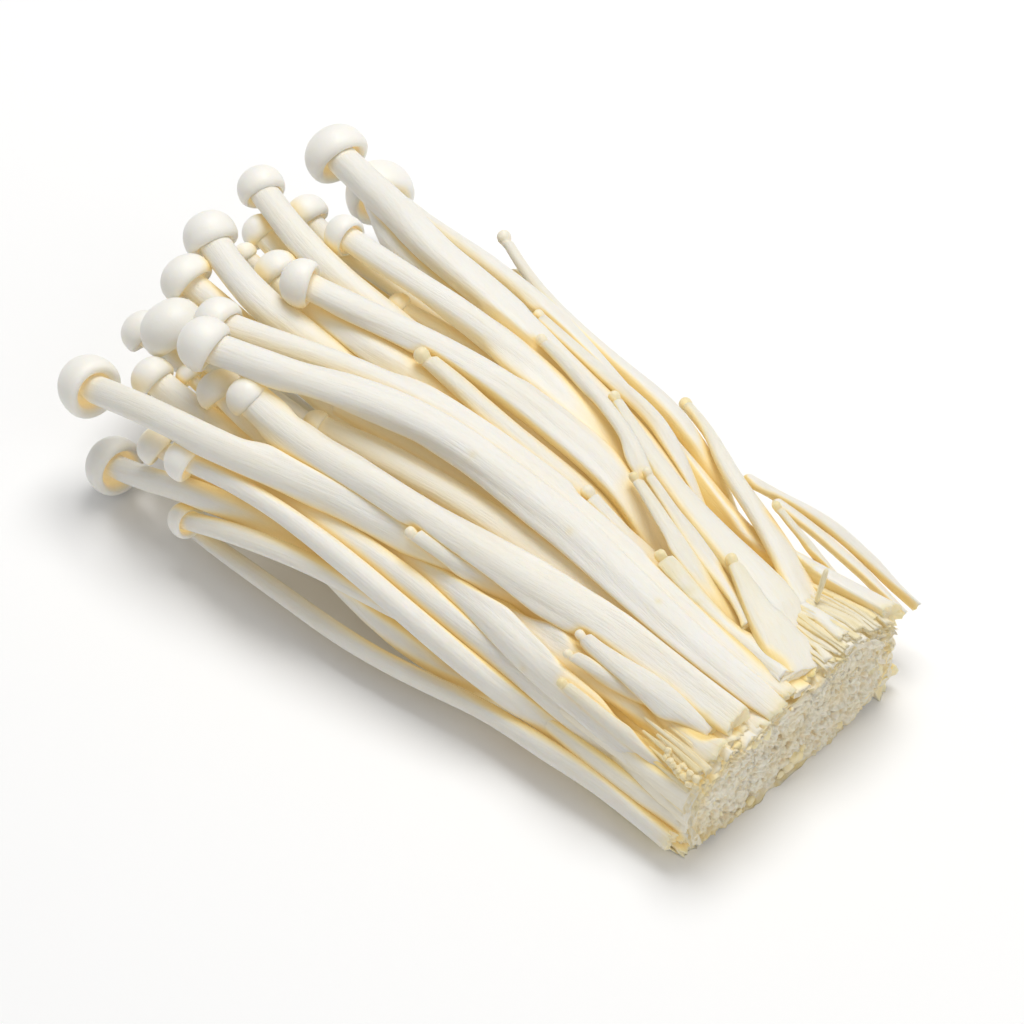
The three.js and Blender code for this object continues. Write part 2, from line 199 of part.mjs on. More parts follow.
function baseBlock() {
  const rings = [];
  const core = (x, k) => ring(x, k, (a) => section(a, CORE_Y, CORE_Z, CORE_HALF_W, CORE_HALF_H, 3));
  const rim = (x, k, w) => ring(x, k, (a, i) => {
    const [y, z] = section(a, RIM_Y, RIM_TOP / 2, RIM_HALF_W, RIM_TOP / 2 + 0.4, 4.2);
    const m = 1 + w * wobble(i, 3);
    return [RIM_Y + (y - RIM_Y) * m, z <= 0.01 ? 0 : Math.max(0, z * m)];
  });
  function ring(x, k, f) {
    const out = [];
    for (let i = 0; i < BLOCK_SIDES; i++) {
      const a = (i / BLOCK_SIDES) * Math.PI * 2;
      let [y, z] = f(a, i);
      const cy = CORE_Y, cz = CORE_Z;
      y = cy + (y - cy) * k; z = k === 1 ? z : cz + (z - cz) * k;
      out.push([x, y, z]);
    }
    return out;
  }
  rings.push(core(BLOCK_FRONT, 0.55));
  rings.push(core(BLOCK_FRONT, 0.97));
  rings.push(core(BLOCK_FRONT + 0.6, 1));
  rings.push(core(BLOCK_RIM, 1));
  rings.push(rim(BLOCK_RIM + 0.35, 1, 0.02));
  rings.push(rim(BLOCK_CUT - 0.5, 1, 0.03));
  rings.push(rim(BLOCK_CUT, 0.97, 0.03));
  rings.push(rim(BLOCK_CUT, 0.72, 0.05));
  rings.push(rim(BLOCK_CUT, 0.42, 0.05));
  const verts = [], tris = [];
  rings.forEach((r, j) => r.forEach((p, i) => {
    const relief = j >= 7 ? 0.7 * wobble(i, j) : 0;
    verts.push(p[0] + relief, p[1], p[2]);
  }));
  const n = BLOCK_SIDES;
  for (let j = 0; j < rings.length - 1; j++)
    for (let i = 0; i < n; i++) {
      const a = j * n + i, b = j * n + ((i + 1) % n), c = a + n, d = b + n;
      tris.push(a, b, d, a, d, c);
    }
  const first = verts.length / 3;
  verts.push(BLOCK_FRONT, CORE_Y, CORE_Z, BLOCK_CUT, CORE_Y, CORE_Z);
  for (let i = 0; i < n; i++) {
    tris.push(first, (i + 1) % n, i);
    const o = (rings.length - 1) * n;
    tris.push(first + 1, o + i, o + ((i + 1) % n));
  }
  const g = new THREE.BufferGeometry();
  g.setAttribute('position', new THREE.Float32BufferAttribute(verts, 3));
  g.setIndex(tris);
  return outward(g);
}

// ---- assembly --------------------------------------------------------------------
const group = new THREE.Group();
group.name = 'enoki_mushroom_cluster';

function add(name, geometry, colour, roughness) {
  const m = new THREE.Mesh(geometry, new THREE.MeshStandardMaterial({ color: colour, roughness, metalness: 0 }));
  m.name = name;
  group.add(m);
  return m;
}

add('base_block', baseBlock(), BASE_COLOUR, 0.85);
for (const [name, capRadius, rows] of MUSHROOMS) {
  const slender = name.startsWith('slender');
  add(name, mushroom(capRadius, rows), slender ? SLENDER_COLOUR : capRadius > 0 ? CAP_COLOUR : STEM_COLOUR, slender ? 0.55 : 0.45);
}

// Put the origin at the bottom centre of the whole cluster's bounding box.
const box = new THREE.Box3();
group.children.forEach((m) => { m.geometry.computeBoundingBox(); box.union(m.geometry.boundingBox); });
const shift = new THREE.Vector3(-(box.min.x + box.max.x) / 2, -(box.min.y + box.max.y) / 2, -box.min.z);
group.children.forEach((m) => m.geometry.translate(shift.x, shift.y, shift.z));

group.userData.shift = shift.toArray();

export default group;
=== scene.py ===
import bpy, math
import numpy as np
from mathutils import Vector, Matrix


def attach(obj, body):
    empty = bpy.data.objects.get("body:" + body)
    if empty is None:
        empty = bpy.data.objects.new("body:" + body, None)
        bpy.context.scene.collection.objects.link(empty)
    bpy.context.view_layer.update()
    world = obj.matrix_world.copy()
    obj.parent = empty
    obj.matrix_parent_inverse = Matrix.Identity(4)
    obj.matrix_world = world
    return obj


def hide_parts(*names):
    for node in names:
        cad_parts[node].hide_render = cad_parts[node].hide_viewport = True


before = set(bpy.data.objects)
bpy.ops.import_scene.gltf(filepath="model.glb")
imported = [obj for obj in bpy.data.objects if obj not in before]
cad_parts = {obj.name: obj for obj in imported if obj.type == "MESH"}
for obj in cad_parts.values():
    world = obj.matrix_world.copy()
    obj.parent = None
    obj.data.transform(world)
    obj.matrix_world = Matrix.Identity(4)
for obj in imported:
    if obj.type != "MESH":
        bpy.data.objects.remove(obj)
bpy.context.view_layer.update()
rng = np.random.default_rng(20261119)
MM = 0.001
SX, SY = (10.0531, 0.7657)          # from the drawing's X, Y to the row frame, mm

# name, cap radius (0 = none seen), how the foot ends, centreline from the cap to the foot:
# (x, y, z, clear radius, full radius), mm in the row frame
STEMS = [
    ('mushroom_01', 4.96, 'core', [(-67.41,33.34,20.75,2.16,2.16),(-64.28,32.74,21.01,2.17,2.17),(-61.15,32.11,21.28,2.14,2.18),(-58.03,31.47,21.56,2.19,2.19),(-54.92,30.8,21.9,2.2,2.2),(-51.84,30.06,22.4,2.18,2.22),(-48.82,29.24,23.05,2.07,2.23),(-45.86,28.3,23.82,2.07,2.24),(-42.94,27.26,24.62,2.11,2.25),(-40.02,26.2,25.38,2.17,2.26),(-37.04,25.23,26.02,2.22,2.27),(-33.98,24.42,26.5,2.25,2.28),(-30.85,23.83,26.81,2.28,2.29),(-27.68,23.43,26.99,2.3,2.3),(-24.49,23.17,27.03,2.31,2.31),(-21.3,23,26.97,2.32,2.33),(-18.11,22.83,26.81,2.33,2.34),(-14.92,22.62,26.57,2.34,2.35),(-11.75,22.36,26.27,2.35,2.36),(-8.58,22.05,25.93,2.35,2.37),(-5.42,21.73,25.55,2.35,2.38),(-2.26,21.42,25.14,2.3,2.39),(0.9,21.14,24.69,2.36,2.4),(4.05,20.91,24.19,2.38,2.41),(7.19,20.71,23.64,2.4,2.42),(10.34,20.52,23.07,2.44,2.44),(13.48,20.3,22.49,2.35,2.45),(16.62,20,21.94,2.46,2.46),(19.74,19.59,21.4,2.47,2.47),(22.85,19.05,20.84,2.46,2.48),(25.91,18.33,20.26,2.45,2.49),(28.92,17.45,19.64,2.5,2.5),(31.89,16.47,18.96,2.46,2.51),(34.84,15.46,18.22,2.43,2.52),(37.78,14.48,17.41,2.44,2.53),(40.51,13.43,16.19,2.12,2.54),(42.05,13.27,15.8,1.99,2.55)]),
    ('mushroom_02', 4.96, 'core', [(-59.23,35.79,14.92,2.35,2.35),(-56.66,34.17,15.73,2.36,2.36),(-54.08,32.56,16.55,2,2.36),(-51.47,31.01,17.36,2.36,2.37),(-48.85,29.48,18.16,2.25,2.37),(-46.2,27.99,18.96,2.2,2.38),(-43.48,26.62,19.74,2.22,2.38),(-40.66,25.43,20.43,2.27,2.39),(-37.73,24.46,21.01,2.32,2.4),(-34.7,23.72,21.45,2.36,2.4),(-31.62,23.18,21.76,2.38,2.41),(-28.51,22.8,21.93,2.4,2.42),(-25.38,22.49,22,2.42,2.42),(-22.25,22.18,21.96,2.42,2.43),(-19.13,21.84,21.83,2.43,2.43),(-16.01,21.48,21.62,2.44,2.44),(-12.9,21.09,21.36,2.44,2.44),(-9.8,20.68,21.07,2.43,2.45),(-6.71,20.23,20.76,2.38,2.46),(-3.62,19.74,20.44,2.29,2.46),(-0.54,19.19,20.1,2.32,2.47),(2.53,18.62,19.76,2.4,2.47),(5.6,18.04,19.39,2.45,2.48),(8.67,17.47,18.99,2.46,2.48),(11.73,16.92,18.53,2.49,2.49),(14.78,16.39,18,2.5,2.5),(17.82,15.89,17.37,2.5,2.5),(20.85,15.44,16.66,2.51,2.51),(23.86,15.04,15.88,2.52,2.52),(26.87,14.68,15.04,2.52,2.52),(29.88,14.36,14.17,2.53,2.53),(32.89,14.07,13.32,2.52,2.53),(35.92,13.8,12.52,2.4,2.54),(38.97,13.53,11.81,2.12,2.54),(42.05,13.27,11.4,1.99,2.55)]),
    ('mushroom_03', 4.01, 'core', [(-61.24,10.91,30.29,2.08,2.08),(-58.34,9.94,30.59,2.09,2.09),(-55.41,9.01,30.82,2.04,2.1),(-52.46,8.16,30.91,2.11,2.11),(-49.48,7.42,30.85,2.13,2.13),(-46.46,6.83,30.68,2.14,2.14),(-43.43,6.39,30.43,2.15,2.15),(-40.38,6.09,30.12,2.16,2.16),(-37.33,5.94,29.77,2.17,2.17),(-34.28,5.88,29.38,2.18,2.18),(-31.23,5.87,28.97,2.19,2.19),(-28.19,5.87,28.54,2.21,2.21),(-25.14,5.83,28.12,2.22,2.22),(-22.09,5.81,27.72,2.23,2.23),(-19.04,5.86,27.36,2.24,2.24),(-15.98,6.05,27.05,2.25,2.25),(-12.94,6.39,26.76,2.26,2.26),(-9.91,6.81,26.46,2.27,2.27),(-6.88,7.25,26.11,2.27,2.29),(-3.86,7.64,25.7,2.28,2.3),(-0.83,7.94,25.24,2.29,2.31),(2.2,8.14,24.75,2.31,2.32),(5.23,8.25,24.23,2.32,2.33),(8.25,8.24,23.67,2.34,2.34),(11.26,8.11,23.06,2.35,2.35),(14.25,7.85,22.37,2.37,2.37),(17.19,7.44,21.57,2.38,2.38),(20.08,6.9,20.66,2.39,2.39),(22.91,6.26,19.64,2.4,2.4),(25.68,5.55,18.52,2.41,2.41),(28.41,4.79,17.31,2.42,2.42),(31.1,4,16.05,2.43,2.43),(33.79,3.23,14.77,2.45,2.45),(36.5,2.5,13.52,2.33,2.46),(39.24,1.83,12.3,1.85,2.47),(42.05,1.27,11.4,1.77,2.48)]),
    ('mushroom_04', 3.47, 'core', [(-54.63,15.13,25.62,1.6,1.6),(-51.58,14.81,25.25,1.6,1.6),(-48.53,14.54,24.8,1.61,1.61),(-45.51,14.35,24.19,1.62,1.62),(-42.5,14.21,23.48,1.62,1.62),(-39.51,14.08,22.72,1.62,1.62),(-36.52,13.95,21.93,1.63,1.63),(-33.54,13.81,21.12,1.64,1.64),(-30.56,13.65,20.32,1.64,1.64),(-27.58,13.47,19.51,1.64,1.64),(-24.6,13.26,18.72,1.65,1.65),(-21.62,13.04,17.93,1.66,1.66),(-18.64,12.79,17.16,1.66,1.66),(-15.65,12.53,16.4,1.66,1.66),(-12.67,12.27,15.65,1.67,1.67),(-9.68,11.99,14.92,1.68,1.68),(-6.68,11.71,14.19,1.68,1.68),(-3.69,11.44,13.48,1.68,1.68),(-0.69,11.17,12.79,1.69,1.69),(2.32,10.9,12.13,1.7,1.7),(5.33,10.64,11.49,1.7,1.7),(8.36,10.4,10.88,1.7,1.7),(11.39,10.16,10.31,1.71,1.71),(14.42,9.94,9.79,1.72,1.72),(17.47,9.73,9.31,1.72,1.72),(20.53,9.54,8.88,1.72,1.72),(23.59,9.37,8.49,1.73,1.73),(26.66,9.23,8.15,1.74,1.74),(29.73,9.11,7.86,1.74,1.74),(32.81,9.03,7.6,1.74,1.74),(35.89,9,7.37,1.71,1.75),(38.98,9.01,7.16,1.68,1.76),(42.05,9.27,7,1.62,1.76)]),
    ('mushroom_05', 3.25, 'core', [(-56.82,6.58,25.75,1.6,1.6),(-53.76,6.16,25.41,1.6,1.6),(-50.7,5.81,24.96,1.61,1.61),(-47.66,5.59,24.36,1.62,1.62),(-44.64,5.47,23.66,1.62,1.62),(-41.63,5.42,22.89,1.62,1.62),(-38.63,5.42,22.07,1.63,1.63),(-35.64,5.44,21.24,1.63,1.63),(-32.65,5.49,20.39,1.64,1.64),(-29.66,5.54,19.54,1.64,1.64),(-26.67,5.58,18.7,1.65,1.65),(-23.67,5.62,17.88,1.65,1.65),(-20.67,5.64,17.08,1.66,1.66),(-17.67,5.65,16.29,1.66,1.66),(-14.66,5.64,15.52,1.67,1.67),(-11.64,5.63,14.78,1.67,1.67),(-8.62,5.6,14.05,1.68,1.68),(-5.59,5.57,13.34,1.68,1.68),(-2.56,5.53,12.66,1.69,1.69),(0.47,5.48,12.01,1.69,1.69),(3.52,5.44,11.39,1.7,1.7),(6.57,5.39,10.8,1.7,1.7),(9.63,5.34,10.25,1.71,1.71),(12.69,5.29,9.74,1.71,1.71),(15.76,5.25,9.27,1.72,1.72),(18.84,5.2,8.84,1.72,1.72),(21.92,5.16,8.47,1.73,1.73),(25.01,5.13,8.13,1.73,1.73),(28.1,5.11,7.84,1.74,1.74),(31.2,5.1,7.58,1.74,1.74),(34.3,5.11,7.36,1.74,1.75),(37.4,5.15,7.15,1.72,1.75),(40.5,5.23,6.98,1.75,1.76),(42.05,5.27,7,1.7,1.76)]),
    ('mushroom_06', 2.08, 'core', [(-54.85,1.15,25.57,1.36,1.36),(-51.93,1.55,24.46,1.37,1.37),(-49,1.87,23.36,1.38,1.38),(-46.04,2.11,22.32,1.38,1.38),(-43.06,2.28,21.35,1.39,1.39),(-40.04,2.38,20.46,1.4,1.4),(-37.01,2.42,19.62,1.41,1.41),(-33.96,2.41,18.85,1.41,1.41),(-30.9,2.36,18.13,1.42,1.42),(-27.83,2.28,17.45,1.43,1.43),(-24.75,2.19,16.79,1.44,1.44),(-21.67,2.08,16.15,1.44,1.44),(-18.59,1.97,15.52,1.45,1.45),(-15.51,1.87,14.9,1.46,1.46),(-12.43,1.77,14.28,1.47,1.47),(-9.35,1.68,13.65,1.47,1.47),(-6.26,1.6,13.04,1.48,1.48),(-3.18,1.53,12.42,1.49,1.49),(-0.09,1.47,11.83,1.5,1.5),(3,1.43,11.25,1.5,1.5),(6.1,1.39,10.69,1.51,1.51),(9.2,1.36,10.16,1.52,1.52),(12.31,1.34,9.67,1.53,1.53),(15.42,1.33,9.21,1.54,1.54),(18.54,1.32,8.8,1.54,1.54),(21.66,1.33,8.43,1.55,1.55),(24.79,1.33,8.11,1.56,1.56),(27.93,1.34,7.83,1.57,1.57),(31.06,1.36,7.59,1.57,1.57),(34.2,1.38,7.38,1.58,1.58),(37.34,1.4,7.19,1.58,1.59),(40.48,1.33,7.01,1.54,1.6),(42.05,1.27,7,1.53,1.6)]),
    ('mushroom_07', 2.06, 'core', [(-41.95,-22.25,21.88,0.96,0.96),(-38.83,-22.12,21.28,0.98,0.98),(-35.72,-21.91,20.68,1,1),(-32.62,-21.59,20.06,1.01,1.01),(-29.53,-21.17,19.45,1.03,1.03),(-26.45,-20.68,18.84,1.05,1.05),(-23.38,-20.14,18.25,1.07,1.07),(-20.31,-19.54,17.66,1.08,1.08),(-17.25,-18.93,17.08,1.1,1.1),(-14.18,-18.31,16.51,1.12,1.12),(-11.12,-17.69,15.95,1.14,1.14),(-8.05,-17.07,15.4,1.16,1.16),(-4.98,-16.45,14.88,1.17,1.17),(-1.9,-15.83,14.37,1.19,1.19),(1.18,-15.23,13.88,1.21,1.21),(4.27,-14.65,13.43,1.23,1.23),(7.37,-14.1,13,1.24,1.24),(10.48,-13.59,12.61,1.26,1.26),(13.61,-13.12,12.26,1.28,1.28),(16.74,-12.71,11.96,1.29,1.3),(19.89,-12.37,11.72,1.31,1.32),(23.05,-12.1,11.54,1.33,1.33),(26.22,-11.89,11.42,1.35,1.35),(29.39,-11.72,11.34,1.37,1.37),(32.57,-11.56,11.31,1.38,1.39),(35.74,-11.39,11.32,1.37,1.4),(38.91,-11.16,11.34,1.36,1.42),(42.05,-10.73,11.4,1.41,1.44)]),
    ('mushroom_08', 2.17, 'core', [(-26.76,10.61,26.18,1.44,1.44),(-23.68,11.35,25.84,1.45,1.45),(-20.6,12.05,25.46,1.45,1.45),(-17.52,12.7,25.04,1.46,1.46),(-14.43,13.28,24.57,1.47,1.47),(-11.34,13.76,24.02,1.48,1.48),(-8.24,14.11,23.39,1.48,1.48),(-5.16,14.28,22.64,1.49,1.49),(-2.1,14.26,21.77,1.5,1.5),(0.93,14.07,20.82,1.5,1.5),(3.92,13.76,19.8,1.51,1.51),(6.9,13.37,18.74,1.52,1.52),(9.86,12.94,17.67,1.51,1.52),(12.82,12.5,16.6,1.53,1.53),(15.79,12.07,15.56,1.54,1.54),(18.78,11.64,14.56,1.55,1.55),(21.79,11.23,13.63,1.55,1.55),(24.83,10.84,12.78,1.56,1.56),(27.91,10.49,12.06,1.57,1.57),(31.02,10.18,11.5,1.58,1.58),(34.16,9.91,11.12,1.54,1.58),(37.33,9.68,10.98,1.32,1.59),(40.48,9.36,11.22,1.17,1.6),(42.05,9.27,11.4,1.42,1.6)]),
    ('mushroom_09', 0, 'core', [(-44.07,12.16,26.41,1.28,1.28),(-40.96,12.62,26.11,1.29,1.29),(-37.86,13.05,25.8,1.3,1.3),(-34.74,13.41,25.46,1.31,1.31),(-31.63,13.69,25.06,1.33,1.33),(-28.52,13.94,24.6,1.34,1.34),(-25.43,14.23,24.1,1.35,1.35),(-22.34,14.58,23.54,1.36,1.36),(-19.28,14.99,22.93,1.37,1.37),(-16.24,15.43,22.22,1.38,1.38),(-13.23,15.84,21.4,1.39,1.39),(-10.24,16.16,20.45,1.41,1.41),(-7.29,16.35,19.37,1.37,1.42),(-4.35,16.44,18.23,1.33,1.43),(-1.4,16.52,17.12,1.36,1.44),(1.59,16.64,16.15,1.41,1.45),(4.63,16.81,15.33,1.46,1.46),(7.7,17.04,14.66,1.47,1.47),(10.8,17.28,14.11,1.49,1.49),(13.9,17.52,13.65,1.5,1.5),(17.02,17.76,13.25,1.51,1.51),(20.15,17.97,12.9,1.52,1.52),(23.28,18.15,12.59,1.53,1.53),(26.41,18.28,12.3,1.54,1.54),(29.55,18.34,12.04,1.55,1.55),(32.7,18.31,11.82,1.56,1.57),(35.84,18.17,11.63,1.55,1.58),(38.97,17.9,11.48,1.54,1.59),(42.05,17.27,11.4,1.42,1.6)]),
    ('mushroom_10', 3.54, 'core', [(-41.29,12.16,31.54,1.92,1.92),(-38.22,12.19,31.59,1.94,1.94),(-35.15,12.29,31.59,1.95,1.95),(-32.08,12.48,31.5,1.97,1.97),(-29.03,12.75,31.34,1.99,1.99),(-25.99,13.11,31.08,2,2),(-22.96,13.52,30.75,2.02,2.02),(-19.94,13.96,30.35,2.04,2.04),(-16.94,14.39,29.88,2.05,2.05),(-13.93,14.78,29.36,2.07,2.07),(-10.93,15.12,28.81,2.09,2.09),(-7.92,15.4,28.24,2.1,2.1),(-4.91,15.6,27.67,2.12,2.12),(-1.89,15.72,27.1,2.13,2.13),(1.13,15.77,26.54,2.15,2.15),(4.15,15.74,25.98,2.17,2.17),(7.17,15.64,25.4,2.18,2.18),(10.18,15.48,24.82,2.2,2.2),(13.19,15.28,24.21,2.17,2.22),(16.18,15.02,23.57,2.23,2.23),(19.15,14.66,22.85,2.11,2.25),(22.06,14.14,22.02,2.16,2.27),(24.87,13.39,21.02,2.24,2.28),(27.53,12.43,19.84,2.3,2.3),(30.07,11.32,18.52,2.32,2.32),(32.52,10.11,17.09,2.33,2.33),(34.9,8.87,15.6,2.35,2.35),(37.27,7.64,14.08,1.98,2.37),(39.64,6.43,12.55,1.74,2.38),(42.05,5.27,11.4,1.8,2.4)]),
    ('mushroom_11', 4.38, 'core', [(-57,-3.88,31.16,2.16,2.16),(-54.06,-4.85,31.29,2.17,2.17),(-51.09,-5.74,31.33,2.18,2.18),(-48.09,-6.48,31.23,2.19,2.19),(-45.05,-7.03,30.96,2.21,2.21),(-42,-7.37,30.55,2.22,2.22),(-38.94,-7.47,30.04,2.23,2.23),(-35.9,-7.33,29.46,2.24,2.24),(-32.88,-6.99,28.83,2.26,2.26),(-29.89,-6.53,28.16,2.27,2.27),(-26.92,-6.02,27.44,2.28,2.28),(-23.96,-5.47,26.69,2.25,2.29),(-21.01,-4.88,25.94,2.29,2.3),(-18.06,-4.26,25.22,2.31,2.31),(-15.1,-3.64,24.52,2.33,2.33),(-12.14,-3.08,23.82,2.34,2.34),(-9.16,-2.57,23.11,2.35,2.35),(-6.17,-2.16,22.39,2.36,2.36),(-3.18,-1.83,21.65,2.37,2.37),(-0.19,-1.6,20.87,2.38,2.38),(2.8,-1.46,20.07,2.4,2.4),(5.79,-1.38,19.25,2.41,2.41),(8.78,-1.38,18.41,2.42,2.42),(11.76,-1.43,17.57,2.43,2.43),(14.75,-1.51,16.74,2.44,2.44),(17.74,-1.63,15.93,2.46,2.46),(20.73,-1.77,15.16,2.47,2.47),(23.74,-1.93,14.43,2.48,2.48),(26.76,-2.09,13.75,2.49,2.49),(29.8,-2.25,13.14,2.5,2.5),(32.85,-2.41,12.59,2.52,2.52),(35.91,-2.57,12.11,2.4,2.53),(38.97,-2.72,11.68,2.08,2.54),(42.05,-2.73,11.4,1.82,2.55)]),
    ('mushroom_12', 4.06, 'core', [(-53.96,-11.83,28.74,1.92,1.92),(-50.95,-11.5,27.98,1.93,1.93),(-47.95,-11.17,27.15,1.94,1.94),(-44.99,-10.8,26.25,1.95,1.95),(-42.04,-10.42,25.29,1.96,1.96),(-39.11,-10.03,24.3,1.97,1.97),(-36.17,-9.64,23.3,1.98,1.98),(-33.23,-9.27,22.31,1.99,1.99),(-30.28,-8.92,21.36,2,2),(-27.31,-8.61,20.45,2.01,2.01),(-24.32,-8.34,19.6,2.02,2.02),(-21.31,-8.1,18.81,2.03,2.03),(-18.28,-7.89,18.08,2.04,2.04),(-15.24,-7.72,17.4,2.05,2.05),(-12.18,-7.58,16.77,2.06,2.06),(-9.12,-7.46,16.19,2.07,2.07),(-6.04,-7.36,15.65,2.08,2.08),(-2.96,-7.29,15.15,2.09,2.09),(0.12,-7.24,14.68,2.1,2.1),(3.22,-7.22,14.25,2.11,2.11),(6.31,-7.21,13.86,2.12,2.12),(9.41,-7.22,13.49,2.13,2.13),(12.52,-7.25,13.16,2.14,2.14),(15.62,-7.29,12.85,2.15,2.15),(18.73,-7.35,12.58,2.16,2.16),(21.85,-7.42,12.33,2.17,2.17),(24.96,-7.48,12.12,2.18,2.18),(28.08,-7.53,11.92,2.19,2.19),(31.19,-7.55,11.76,2.2,2.2),(34.31,-7.52,11.63,2.18,2.22),(37.43,-7.41,11.52,2.06,2.22),(40.51,-6.97,11.42,1.83,2.24),(42.05,-6.73,11.4,1.72,2.24)]),
    ('mushroom_13', 3.87, 'core', [(-45.34,0.49,27.8,2.08,2.08),(-42.31,-0.16,27.97,2.08,2.08),(-39.27,-0.72,28.12,2.09,2.09),(-36.2,-1.13,28.27,2.06,2.09),(-33.11,-1.37,28.48,2.06,2.09),(-30.02,-1.47,28.71,2.09,2.09),(-26.93,-1.46,28.9,2.09,2.1),(-23.83,-1.34,28.98,2.06,2.1),(-20.74,-1.11,28.91,2.09,2.1),(-17.67,-0.78,28.7,2.1,2.1),(-14.62,-0.32,28.36,2.11,2.11),(-11.6,0.24,27.92,2.07,2.11),(-8.61,0.86,27.4,2.11,2.11),(-5.63,1.48,26.81,2.12,2.12),(-2.65,2.05,26.16,2.11,2.12),(0.33,2.52,25.47,2.1,2.12),(3.33,2.83,24.73,2.11,2.12),(6.33,2.97,23.97,2.12,2.13),(9.33,2.94,23.21,2.12,2.13),(12.34,2.76,22.48,2.12,2.13),(15.35,2.45,21.79,2.12,2.13),(18.35,2.03,21.14,2.14,2.14),(21.34,1.53,20.5,2.14,2.14),(24.32,0.95,19.87,2.14,2.14),(27.29,0.33,19.22,2.14,2.15),(30.24,-0.33,18.56,2.15,2.15),(33.2,-0.98,17.89,2.15,2.15),(36.16,-1.63,17.22,2.11,2.15),(39.12,-2.25,16.54,1.98,2.16),(42.05,-2.73,15.8,1.89,2.16)]),
    ('mushroom_14', 3.68, 'core', [(-35.17,-2.44,34.31,1.92,1.92),(-32.27,-1.58,33.92,1.92,1.92),(-29.37,-0.68,33.55,1.93,1.93),(-26.5,0.27,33.18,1.93,1.93),(-23.63,1.24,32.8,1.93,1.93),(-20.76,2.21,32.41,1.94,1.94),(-17.88,3.17,32.01,1.94,1.94),(-15,4.1,31.63,1.94,1.94),(-12.1,4.97,31.27,1.8,1.94),(-9.16,5.73,30.94,1.95,1.95),(-6.2,6.41,30.6,1.94,1.95),(-3.23,7.02,30.25,1.94,1.95),(-0.25,7.57,29.85,1.94,1.96),(2.73,8.07,29.4,1.95,1.96),(5.71,8.49,28.89,1.95,1.96),(8.69,8.82,28.34,1.96,1.96),(11.68,9.08,27.75,1.97,1.97),(14.67,9.26,27.15,1.97,1.97),(17.66,9.38,26.54,1.97,1.97),(20.64,9.42,25.9,1.98,1.98),(23.6,9.33,25.16,1.98,1.98),(26.51,9.06,24.28,1.98,1.98),(29.33,8.58,23.22,1.96,1.98),(32.04,7.93,21.97,1.9,1.99),(34.66,7.22,20.57,1.95,1.99),(37.21,6.49,19.05,1.97,1.99),(39.69,5.78,17.42,1.88,2),(42.05,5.27,15.8,1.78,2)]),
    ('mushroom_15', 3.63, 'core', [(-56.75,-19.95,20.22,1.6,1.6),(-53.61,-19.78,19.98,1.61,1.61),(-50.48,-19.57,19.69,1.62,1.62),(-47.36,-19.31,19.36,1.63,1.63),(-44.25,-18.99,18.98,1.64,1.64),(-41.15,-18.62,18.56,1.65,1.65),(-38.06,-18.2,18.11,1.66,1.66),(-34.98,-17.75,17.63,1.67,1.67),(-31.9,-17.26,17.13,1.68,1.68),(-28.84,-16.74,16.61,1.69,1.69),(-25.79,-16.2,16.07,1.7,1.7),(-22.74,-15.63,15.52,1.71,1.71),(-19.69,-15.05,14.95,1.72,1.72),(-16.65,-14.45,14.37,1.73,1.73),(-13.62,-13.85,13.79,1.74,1.74),(-10.58,-13.25,13.2,1.75,1.75),(-7.54,-12.65,12.62,1.76,1.76),(-4.5,-12.06,12.04,1.77,1.77),(-1.46,-11.49,11.47,1.78,1.78),(1.6,-10.95,10.91,1.79,1.79),(4.66,-10.43,10.38,1.8,1.8),(7.73,-9.94,9.86,1.81,1.81),(10.81,-9.49,9.37,1.82,1.82),(13.9,-9.08,8.92,1.83,1.83),(17,-8.71,8.51,1.84,1.84),(20.11,-8.39,8.14,1.85,1.85),(23.23,-8.11,7.82,1.86,1.86),(26.36,-7.86,7.56,1.87,1.87),(29.5,-7.65,7.34,1.88,1.88),(32.64,-7.45,7.18,1.89,1.89),(35.78,-7.27,7.06,1.89,1.9),(38.92,-7.08,6.98,1.86,1.91),(42.05,-6.73,7,1.69,1.92)]),
    ('mushroom_16', 4.76, 'core', [(-48.32,-19.69,26.28,1.92,1.92),(-45.28,-19.33,25.69,1.92,1.92),(-42.26,-18.92,25.04,1.92,1.92),(-39.26,-18.43,24.33,1.93,1.93),(-36.28,-17.89,23.58,1.93,1.93),(-33.29,-17.36,22.85,1.92,1.93),(-30.29,-16.86,22.16,1.94,1.94),(-27.28,-16.41,21.51,1.94,1.94),(-24.25,-15.98,20.92,1.94,1.94),(-21.2,-15.57,20.38,1.94,1.94),(-18.15,-15.18,19.9,1.95,1.95),(-15.08,-14.78,19.46,1.95,1.95),(-12.02,-14.38,19.08,1.95,1.95),(-8.95,-13.96,18.73,1.96,1.96),(-5.87,-13.53,18.41,1.96,1.96),(-2.8,-13.09,18.11,1.96,1.96),(0.27,-12.65,17.83,1.96,1.96),(3.35,-12.21,17.57,1.97,1.97),(6.43,-11.78,17.32,1.95,1.97),(9.51,-11.39,17.08,1.97,1.97),(12.6,-11.03,16.85,1.97,1.97),(15.7,-10.69,16.63,1.98,1.98),(18.79,-10.38,16.43,1.98,1.98),(21.89,-10.1,16.26,1.98,1.98),(25,-9.87,16.1,1.98,1.98),(28.11,-9.71,15.97,1.98,1.99),(31.23,-9.64,15.86,1.99,1.99),(34.34,-9.71,15.79,1.94,1.99),(37.45,-9.95,15.76,1.87,2),(40.51,-10.52,15.78,1.8,2),(42.05,-10.73,15.8,1.72,2)]),
